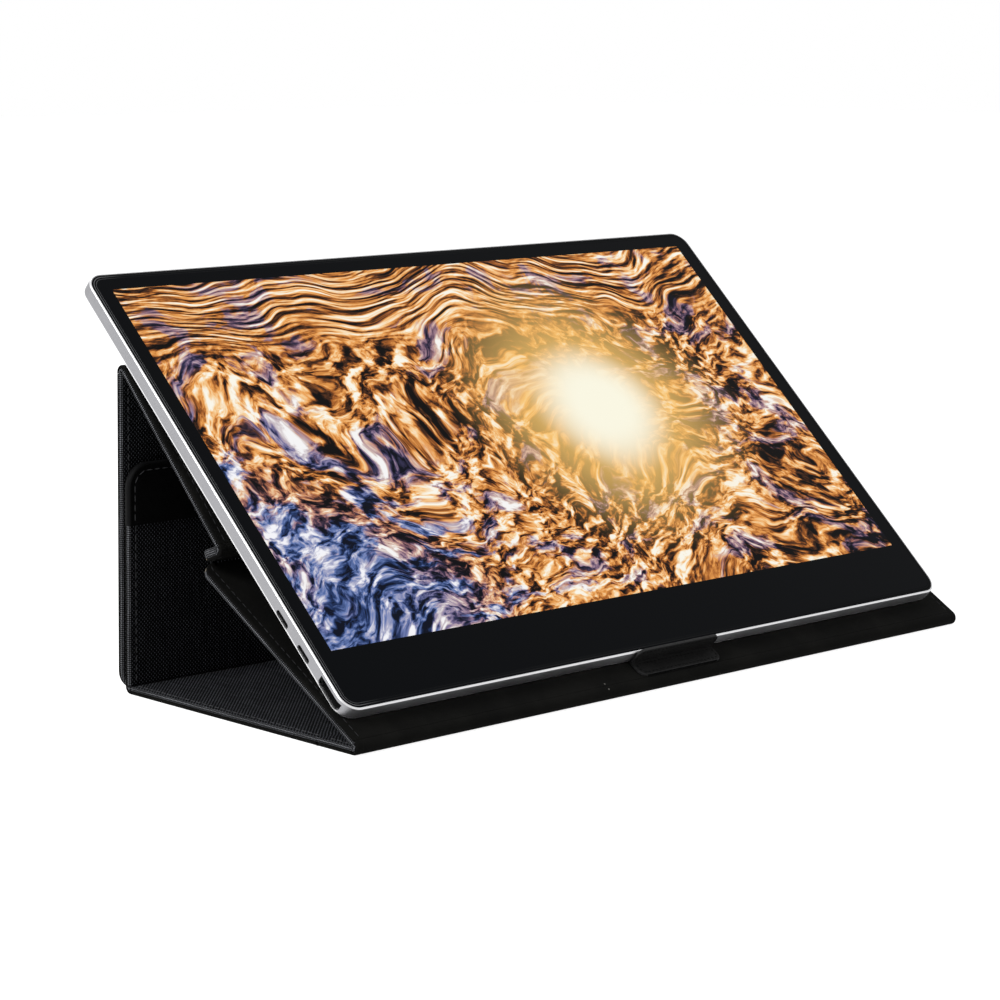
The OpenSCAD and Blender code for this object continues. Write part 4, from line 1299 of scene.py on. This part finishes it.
@dataclass
class StopTab:
    """The leather tab that stops the monitor: a sewn base, a soft bend and a standing lip, in one piece.

    The sheet is worked flat, with s = 0 where the bend starts, and each point (x, s, h above the under face)
    goes to the base, to the arc of radius bend - h about the fold line, or to the lip.
    """

    ramp: Plane
    fold: np.ndarray
    middle_slope: float
    width: float = 49.5
    base: float = 7.65
    lip: float = 7.7
    bend: float = 1.6
    thick: float = 1.35
    corner: float = 3.6
    edge: float = 0.35
    sewn_in: float = 1.5
    worn: float = 0.42
    columns: int = 110
    rows: int = 44
    turned: float = field(init=False)

    def __post_init__(self) -> None:
        """Works out how far the lip is turned up from the base."""
        self.turned = math.radians(90.0 + self.middle_slope - self.ramp.slope)

    def _fold_in_ramp(self) -> np.ndarray:
        """The fold line in the ramp's plane, as (y, z)."""
        gap = self.fold - np.asarray(self.ramp.origin)
        return np.array([gap @ self.ramp.along(), gap @ self.ramp.across()])

    def _bent(self, s: np.ndarray, h: np.ndarray) -> np.ndarray:
        """Carries (s, h) to (y, z) in the ramp's plane."""
        length = self.turned * (self.bend - self.thick / 2)
        angle = np.clip(s / length, 0, 1) * self.turned
        radius = self.bend - h
        past = np.where(s < 0, s, np.maximum(s - length, 0))
        centre = self._fold_in_ramp()
        y = centre[0] + radius * np.sin(angle) + past * np.cos(angle)
        z = centre[1] - radius * np.cos(angle) + past * np.sin(angle)
        return np.stack([y, z], axis=-1)

    def _rim_distance(self, x: np.ndarray, s: np.ndarray) -> np.ndarray:
        """Distance inwards from the tab's rounded outline."""
        low, high = self._reach()
        qx = np.abs(x) - (self.width / 2 - self.corner)
        qs = np.abs(s - (low + high) / 2) - ((high - low) / 2 - self.corner)
        outside = np.hypot(np.maximum(qx, 0), np.maximum(qs, 0))
        return self.corner - outside - np.minimum(np.maximum(qx, qs), 0)

    def _reach(self) -> tuple[float, float]:
        """Lowest and highest s of the flat sheet."""
        return -self.base, self.lip + self.turned * (self.bend - self.thick / 2)

    def sheet(self) -> Mesh:
        """The closed sheet: two height fields over one grid, joined round the outline.

        The outline's half-width at s is width/2 - r + sqrt(r^2 - (r - e)^2), with e the distance to the nearer
        end and r the corner radius; both faces ease down by the edge radius at the outline.
        """
        low, high = self._reach()
        s = (low + high) / 2 - (high - low) / 2 * np.cos(np.linspace(0, math.pi, self.rows))
        near = np.minimum(np.minimum(s - low, high - s), self.corner)
        half = self.width / 2 - self.corner + np.sqrt(self.corner**2 - (self.corner - near) ** 2)
        across = -np.cos(np.linspace(0, math.pi, self.columns))
        x, along = half[:, None] * across[None, :], np.repeat(s[:, None], self.columns, axis=1)
        gap = np.clip(self._rim_distance(x, along), 0, None)
        ease = self.edge - np.sqrt(self.edge**2 - (self.edge - np.minimum(gap, self.edge)) ** 2)
        groove = 0.09 * np.exp(-(((gap - self.sewn_in) / 0.32) ** 2))
        crown = 0.05 * np.sin(x / 2.9) * np.sin(along / 1.7)
        points = []
        for height in (self.thick - ease - groove + crown * (gap > 0.5), ease):
            bent = self._bent(along, height)
            points.append(np.column_stack([x.ravel(), bent.reshape(-1, 2)]))
        count = self.rows * self.columns
        faces = grid_faces(self.rows, self.columns, round_columns=False)
        faces = faces + [[corner + count for corner in face[::-1]] for face in faces]
        index = np.arange(count).reshape(self.rows, self.columns)
        loop = np.concatenate([index[0, :-1], index[:-1, -1], index[-1, :0:-1], index[:0:-1, 0]])
        faces += [[a, b, b + count, a + count] for a, b in zip(loop.tolist(), np.roll(loop, -1).tolist())]
        chart = np.column_stack([x.ravel(), along.ravel()])
        highlight_and_wear = np.clip(1 - gap.ravel() / self.worn, 0, 1)
        return Mesh(self.ramp.place(np.concatenate(points)), faces, np.tile(chart, (2, 1)), np.tile(highlight_and_wear, 2))

    def stitches(self) -> tuple[Mesh, Mesh]:
        """The rows on the base, round its rim and before the bend, and the rows on the lip."""
        sewing = StitchRow(pitch=2.3, length=1.2, thick=0.80, high=0.40)
        inset, r = self.sewn_in, self.corner - self.sewn_in
        half = self.width / 2 - inset
        fold_y, fold_z = self._fold_in_ramp()
        quarter = np.radians(np.linspace(0, 90, 9))

        def hoop(near: float, far: float) -> np.ndarray:
            """A U from near the bend, out to far and back."""
            way = 1 if far > near else -1
            side = np.array([[half, near]])
            turn = np.stack([half - r + r * np.cos(quarter), far + way * (r * np.sin(quarter) - r)], axis=1)
            right = np.concatenate([side, turn])
            left = right[::-1] * [-1, 1]
            return np.concatenate([right, left])

        base_lines = [hoop(fold_y - 0.9, fold_y - self.base + inset),
                      np.array([[-half + 1.4, fold_y - 0.9], [half - 1.4, fold_y - 0.9]])]
        base = sewing.along(base_lines, fold_z - self.bend + self.thick - 0.04, self.ramp)
        lip_plane = Plane(tuple(self.fold), self.ramp.slope + math.degrees(self.turned), self.ramp.middle)
        lip = sewing.along([hoop(1.0, self.lip - inset)], self.thick - self.bend - 0.04, lip_plane)
        return base, lip

    def make(self, looks: Finishes) -> list[Object]:
        """Builds the leather, which bends from the ramp to the lip, and its stitches.

        Args:
            looks: The object's materials.

        Returns:
            The pieces.
        """
        tab = self.sheet().piece("stop_tab_leather", [looks.tab_leather], sharp=70)
        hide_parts("tab_base", "tab_web", "tab_lip_flange")
        ends = [self.fold + self.bend * turn for turn in (-self.ramp.across(), self._lip_back())]
        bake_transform(tab)
        made = [tab]
        for name, mesh, body in zip(("tab_base_stitches", "tab_lip_stitches"), self.stitches(), ("ramp", "stop_tab")):
            row = mesh.piece(name, [looks.dark_thread])
            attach(row, body)
            made.append(row)
        return made

    def _lip_back(self) -> np.ndarray:
        """Unit vector out of the lip's back, towards the monitor."""
        angle = math.radians(self.ramp.slope - 90) + self.turned
        return np.array([math.cos(angle), math.sin(angle)])


@dataclass
class Cover:
    """The folding cover: seven stiff panels, the folds between them, the flap's band and the stop tab."""

    lines: dict[str, np.ndarray]
    monitor_slope: float
    build: Build = field(default_factory=Build)
    ramp_slope: float = 30.6
    strip_slope: float = 160.3
    flap_gap: float = 1.8
    flap_length: float = 95.0
    flap_corner: float = 10.0
    crease_gap: float = 1.2
    rear_corner: float = 9.0
    strip_corner: float = 5.5
    ramp_corner: float = 6.0
    floor_roll: float = 1.65
    strip_puff: float = 1.5

    def __post_init__(self) -> None:
        """Works out the panels' planes and lengths from the fold lines."""
        self.low_hem = replace(self.build, roll_high=self.floor_roll)
        rest = self.build.thick + self.build.lean_gap
        apex, upper, lower = (self.lines[key] for key in ("rear_panel_fold", "upper_spine_fold", "lower_spine_fold"))
        front, heel, crease = (self.lines[key] for key in ("front_fold", "flap_fold", "floor_crease"))
        foot = np.array([heel[0] + self.build.thick + self.flap_gap, 0.0])
        rear_slope = self._slope(foot - apex)
        self.back = Plane(tuple(upper), self._slope(apex - upper))
        self.rear = Plane(tuple(apex), rear_slope)
        self.ramp = Plane(tuple(front), self.ramp_slope)
        strip = Plane((0.0, 0.0), self.strip_slope)
        self.spine = Plane(tuple(lower - rest * strip.across()), self.strip_slope)
        self.floor = Plane(tuple(heel), 180.0)
        self.flap = Plane(tuple(heel - self.flap_length * self.rear.along()), rear_slope)
        self.back_length = float(np.linalg.norm(apex - upper))
        self.rear_length = float(np.linalg.norm(foot - apex))
        self.ramp_length = float((lower - front) @ self.ramp.along())
        self.spine_length = float((upper - np.asarray(self.spine.origin)) @ self.spine.along())
        self.floor_length = float(heel[0] - front[0])
        self.floor_end = float(heel[0] - crease[0]) - self.crease_gap / 2

    @staticmethod
    def _slope(way: np.ndarray) -> float:
        """Slope of a (rear, up) vector in degrees."""
        return math.degrees(math.atan2(way[1], way[0]))

    def panels(self) -> list[Panel]:
        """The seven panels."""
        b, gap = self.build, self.build.fold_set

        def outline(start: float, end: float, start_radius: float = b.square, end_radius: float = b.square,
                    **kind: object) -> Outline:
            """A panel's outline at the cover's width."""
            return Outline(b.width, start, end, start_radius, end_radius, **kind)

        return [
            Panel("back", "monitor", self.back, outline(gap, self.back_length - gap), b),
            Panel("rear", "rear_panel", self.rear,
                  outline(gap, self.rear_length, end_radius=self.rear_corner, end_folds=False), b, deep=True),
            Panel("spine", "spine", self.spine, outline(gap, self.spine_length - gap, self.strip_corner), b,
                  puff=self.strip_puff),
            Panel("ramp", "ramp", self.ramp, outline(gap, self.ramp_length - gap, end_radius=self.ramp_corner), b,
                  end_seam=0.0),
            Panel("floor", "floor_panel", self.floor, outline(gap, self.floor_end), self.low_hem, end_seam=0.0),
            Panel("toe", "toe", self.floor, outline(self.floor_end + self.crease_gap, self.floor_length - gap),
                  self.low_hem, start_seam=0.0),
            Panel("flap", "flap", self.flap,
                  outline(0.0, self.flap_length - gap, self.flap_corner, start_folds=False), b,
                  lining_stitches=False, deep=True),
        ]

    def folds(self) -> list[Fold]:
        """The five rounded folds; the lower one of the strip shows its woven side."""
        b = self.build
        ramp, strip, floor, rear = self.ramp, self.spine, self.floor, self.rear
        lap = (b.seam, b.seam)
        return [
            Fold("apex", "apex_web", ("rear_panel", "monitor"), self.lines["rear_panel_fold"],
                 (rear.along(), -self.back.along()), (rear.across(), self.back.across()), b, lap, b.thick),
            Fold("upper_spine", "spine_upper_web", ("monitor", "spine"), self.lines["upper_spine_fold"],
                 (self.back.along(), -strip.along()), (self.back.across(), strip.across()), b, lap, b.thick),
            Fold("lower_spine", "spine_lower_web", ("ramp", "spine"), self.lines["lower_spine_fold"],
                 (-ramp.along(), strip.along()), (-ramp.across(), -strip.across()), b, (4.0, 2.2),
                 b.thick + b.lean_gap + 0.08, woven=True, corner=self.strip_corner),
            Fold("front", "front_web", ("ramp", "toe"), self.lines["front_fold"],
                 (ramp.along(), -floor.along()), (ramp.across(), floor.across()), b, lap, b.thick),
            Fold("heel", "heel_web", ("floor_panel", "flap"), self.lines["flap_fold"],
                 (floor.along(), -rear.along()), (floor.across(), rear.across()), b, lap, b.thick),
        ]

    def make(self, looks: Finishes) -> None:
        """Builds the whole cover.

        Args:
            looks: The object's materials.
        """
        for panel in self.panels():
            LOG.info("panel %s: %d pieces", panel.name, len(panel.make(looks)))
        for fold in self.folds():
            LOG.info("fold %s: %d pieces", fold.name, len(fold.make(looks)))
        Crease(self.floor, (self.floor_end, self.floor_end + self.crease_gap), self.low_hem).make(looks)
        FlapBand(self.flap, self.build, corner=self.flap_corner).make(looks)
        StopTab(self.ramp, self.lines["tab_fold"], self.monitor_slope).make(looks)
        LOG.info("band and stop tab")


# ---------------------------------------------------------------- the monitor


@dataclass
class Monitor:
    """The monitor: shell, glass, sockets and keys, and the parts inside that keep the frame's own solids."""

    frame: dict
    tilt: float = 43.26
    active: tuple[float, float] = (344.2, 193.6)
    side_border: float = 8.6
    top_border: float = 8.1
    chin: float = 27.5
    corner: float = 7.0
    glass_thick: float = 1.1
    glass_round: float = 0.25
    hdmi_depth: float = 3.9
    hdmi_tongue: tuple[float, float] = (0.08, 1.12)
    usb_depth: float = 4.6
    usb_tongue: tuple[float, float] = (-0.37, 0.37)

    def __post_init__(self) -> None:
        """Finds the glass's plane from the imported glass."""
        low, high = (np.array(corner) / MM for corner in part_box("front_glass"))
        foot = (low[1], low[2] + self.glass_thick * math.cos(math.radians(self.tilt)))
        self.plane = Plane(foot, self.tilt, (low[0] + high[0]) / 2)
        self.width = self.active[0] + 2 * self.side_border
        self.height = self.active[1] + self.chin + self.top_border

    def glass(self, looks: Finishes) -> Object:
        """The front glass: a flat face, a rounded rim and a map of the lit area."""
        r = self.glass_round
        lines = [[1.92, 0.0], [1.80, 0.0], [0.98, 0.0], [0.70, 0.0]]
        rows = np.concatenate([lines, ellipse((r, -r), (r, r), 180, 90, 5),
                               [[0.0, -self.glass_thick + 0.15], [0.12, -self.glass_thick], [2.3, -self.glass_thick]]])
        outline = Outline(self.width, 0.0, self.height, self.corner, self.corner, False, False, corner_steps=16)
        mesh = Rim(rows, rows, np.zeros(len(rows))).sheet(outline, self.plane)
        count = len(outline.facing())
        # Bands 1.92 to 1.80 and 0.98 to 0.70 mm in from the rim carry the painted highlight lines.
        mesh.looks = [1] * count + [0] * count + [1] * count + [0] * (count * (len(rows) - 4) + 2)
        mesh.chart = (mesh.chart + [self.active[0] / 2, -self.chin]) / self.active
        mesh.chart_name, mesh.chart_scale = PICTURE, 1.0
        made = mesh.piece("display_glass", [looks.glass, looks.glass_edge_highlight], sharp=50)
        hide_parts("front_glass")
        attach(made, "monitor")
        return made

    def _in_plane(self, mesh: bpy.types.Mesh) -> np.ndarray:
        """The middles of a mesh's faces, as (x, y, z) in the glass's plane."""
        middles = np.zeros(len(mesh.polygons) * 3)
        mesh.polygons.foreach_get("center", middles)
        middles = middles.reshape(-1, 3) / MM
        flat = middles[:, 1:] - np.asarray(self.plane.origin)
        return np.column_stack([middles[:, 0] - self.plane.middle, flat @ self.plane.along(),
                                flat @ self.plane.across()])

    def polished(self, node: str, name: str, body: str, materials: list[Material],
                 bevel: float = 0.12) -> Object:
        """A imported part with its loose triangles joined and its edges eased.

        Args:
            node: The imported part.
            name: Name of the new piece.
            body: The body it rides on.
            materials: Its materials.
            bevel: Width of the eased edges in millimetres.

        Returns:
            The piece.
        """
        mesh = self.frame["nodes"][node].data.copy()
        mesh.materials.clear()
        for material in materials:
            mesh.materials.append(material)
        turn_outward(mesh, merge=2e-6, flatten=0.4)
        mesh.polygons.foreach_set("material_index", [0] * len(mesh.polygons))
        mesh.shade_smooth()
        mesh.set_sharp_from_angle(angle=math.radians(30))
        made = placed(name, mesh)
        ease = made.modifiers.new("eased_edges", "BEVEL")
        ease.width, ease.segments = bevel * MM, 2
        ease.limit_method, ease.angle_limit = "ANGLE", math.radians(32)
        ease.harden_normals = True
        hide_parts(node)
        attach(made, body)
        return made

    def sockets(self, looks: Finishes) -> None:
        """The sockets' metal shells, with their black tongues told apart by their place."""
        # The socket metal's near-black is painted shade.
        pair = [looks.plain["socket_metal"], looks.plain["black_plastic"]]
        tongues = (("hdmi_socket", "hdmi_receptacle", self.hdmi_depth, self.hdmi_tongue),
                   ("usb_c_sockets", "usb_c_receptacles", self.usb_depth, self.usb_tongue))
        for node, name, depth, (low, high) in tongues:
            made = self.polished(node, name, "monitor", pair, 0.04)
            rise = self._in_plane(made.data)[:, 2] + depth
            tongue = (rise > low) & (rise < high)
            made.data.polygons.foreach_set("material_index", tongue.astype(np.int32).tolist())
        self.polished("headphone_jack", "headphone_socket", "monitor",
                      [looks.plain["black_plastic"]], 0.08)

    def inside(self, looks: Finishes) -> int:
        """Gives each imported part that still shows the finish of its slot.

        Returns:
            How many parts there were.
        """
        slots = {one["node"]: one["material_slot"] for one in self.frame["record"]["subparts"]}
        kept = [node for node, made in self.frame["nodes"].items() if not made.hide_render]
        for node in kept:
            data = self.frame["nodes"][node].data
            data.materials.clear()
            data.materials.append(looks.plain[slots[node]])
        return len(kept)

    def make(self, looks: Finishes) -> None:
        """Builds the monitor's pieces.

        Args:
            looks: The object's materials.
        """
        self.polished("rear_housing", "aluminium_shell", "monitor", [looks.metal], 0.15)
        self.glass(looks)
        self.sockets(looks)
        for node, name, body in (("power_button", "power_key_cap", "power_key"),
                                 ("menu_rocker", "menu_rocker_cap", "menu_key")):
            self.polished(node, name, body, [looks.plain["key_metal"]], 0.15)
        LOG.info("monitor: shell, glass, sockets and keys")


# ---------------------------------------------------------------- the studio


@dataclass(frozen=True)
class Lamp:
    """A soft square lamp."""

    name: str
    place: Triple
    aim: Triple
    size: float
    watts: float

    def make(self) -> None:
        """Hangs the lamp."""
        light = bpy.data.lights.new(self.name, "AREA")
        light.shape, light.size, light.energy = "SQUARE", self.size, self.watts
        made = placed(self.name, light)
        way = np.array(self.aim) - np.array(self.place)
        made.location = self.place
        flat = math.hypot(way[0], way[1])
        made.rotation_euler = (math.atan2(flat, -way[2]), 0.0, math.atan2(-way[0], way[1]))


@dataclass(frozen=True)
class Studio:
    """A white room: camera, pale floor, a plain sky and three soft lamps."""

    camera_place: Triple = (-0.9136, -0.9445, 0.2836)
    camera_turn: Triple = (80.74, 0.0, -43.24)
    lens: float = 107.5
    floor_reach: float = 6.0
    sky: float = 0.28
    floor_tone: float = 0.50
    floor_glow: float = 0.86
    lamps: tuple[Lamp, ...] = (
        Lamp("key_lamp", (-1.9, 0.0, 1.5), (0.0, 0.0, 0.08), 1.0, 34.0),
        Lamp("fill_lamp", (0.9, -1.9, 1.1), (0.0, 0.0, 0.08), 1.4, 14.0),
        Lamp("rear_lamp", (0.4, 1.7, 1.6), (0.0, 0.0, 0.1), 1.2, 16.0),
    )

    def camera(self) -> None:
        """Sets up the camera."""
        camera = bpy.data.cameras.new("camera")
        camera.lens, camera.sensor_width = self.lens, 36.0
        camera.clip_start, camera.clip_end = 0.01, 50.0
        made = placed("camera", camera)
        made.location = self.camera_place
        made.rotation_euler = tuple(math.radians(a) for a in self.camera_turn)
        bpy.context.scene.camera = made

    def _seen(self, sheet: NodeSheet) -> Socket:
        """1 for rays from the camera, off gloss and through glass."""
        path = sheet.node("LightPath")
        either = sheet.maths("MAXIMUM", path.outputs["Is Camera Ray"], path.outputs["Is Glossy Ray"])
        return sheet.maths("MAXIMUM", either, path.outputs["Is Transmission Ray"])

    def floor(self) -> None:
        """Lays the floor: white, and lit from within for the eye alone, so that it keeps the shadow."""
        reach = self.floor_reach / MM
        corners = np.array([[-reach, -reach, 0.0], [reach, -reach, 0.0], [reach, reach, 0.0], [-reach, reach, 0.0]])
        sheet = NodeSheet("pale_floor")
        material = sheet.finish(
            Base_Color=(self.floor_tone, self.floor_tone, self.floor_tone),
            Roughness=0.9,
            Specular_IOR_Level=0.1,
            Emission_Color=(1.0, 1.0, 1.0),
            Emission_Strength=sheet.times(self._seen(sheet), self.floor_glow),
        )
        made = Mesh(corners, [[0, 1, 2, 3]], corners[:, :2]).piece("floor", [material], outward=False)

    def sky_light(self) -> None:
        """Gives the world a plain light, and shows it white."""
        world = bpy.data.worlds.new("plain_sky")
        world.use_nodes = True
        bpy.context.scene.world = world
        sheet = NodeSheet("sky_sheet")
        bpy.data.materials.remove(sheet.material)
        sheet.tree = world.node_tree
        sheet.tree.nodes.clear()
        back = sheet.node("Background")
        back.inputs["Color"].default_value = (1.0, 1.0, 1.0, 1.0)
        share = sheet.times(self._seen(sheet), 1.0 - self.sky)
        sheet.feed(back.inputs["Strength"], sheet.plus(share, self.sky))
        output = sheet.node("OutputWorld")
        sheet.tree.links.new(back.outputs[0], output.inputs[0])

    def make(self) -> None:
        """Sets up the room."""
        self.camera()
        self.floor()
        self.sky_light()
        for lamp in self.lamps:
            lamp.make()
        bpy.context.scene.view_settings.view_transform = "Standard"


def main() -> None:
    logging.basicConfig(level=logging.INFO, format="%(name)s: %(message)s")
    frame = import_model()
    Studio().make()
    monitor = Monitor(frame)
    looks = Finishes(monitor.plane)
    lines = {joint["name"]: np.array(joint["pos_m"][1:]) / MM for joint in frame["joints"] if joint.get("pos_m")}
    monitor.make(looks)
    Cover(lines, monitor.tilt).make(looks)
    LOG.info("inside: %d packed parts keep their own solids", monitor.inside(looks))


if __name__ == "__main__":
    main()
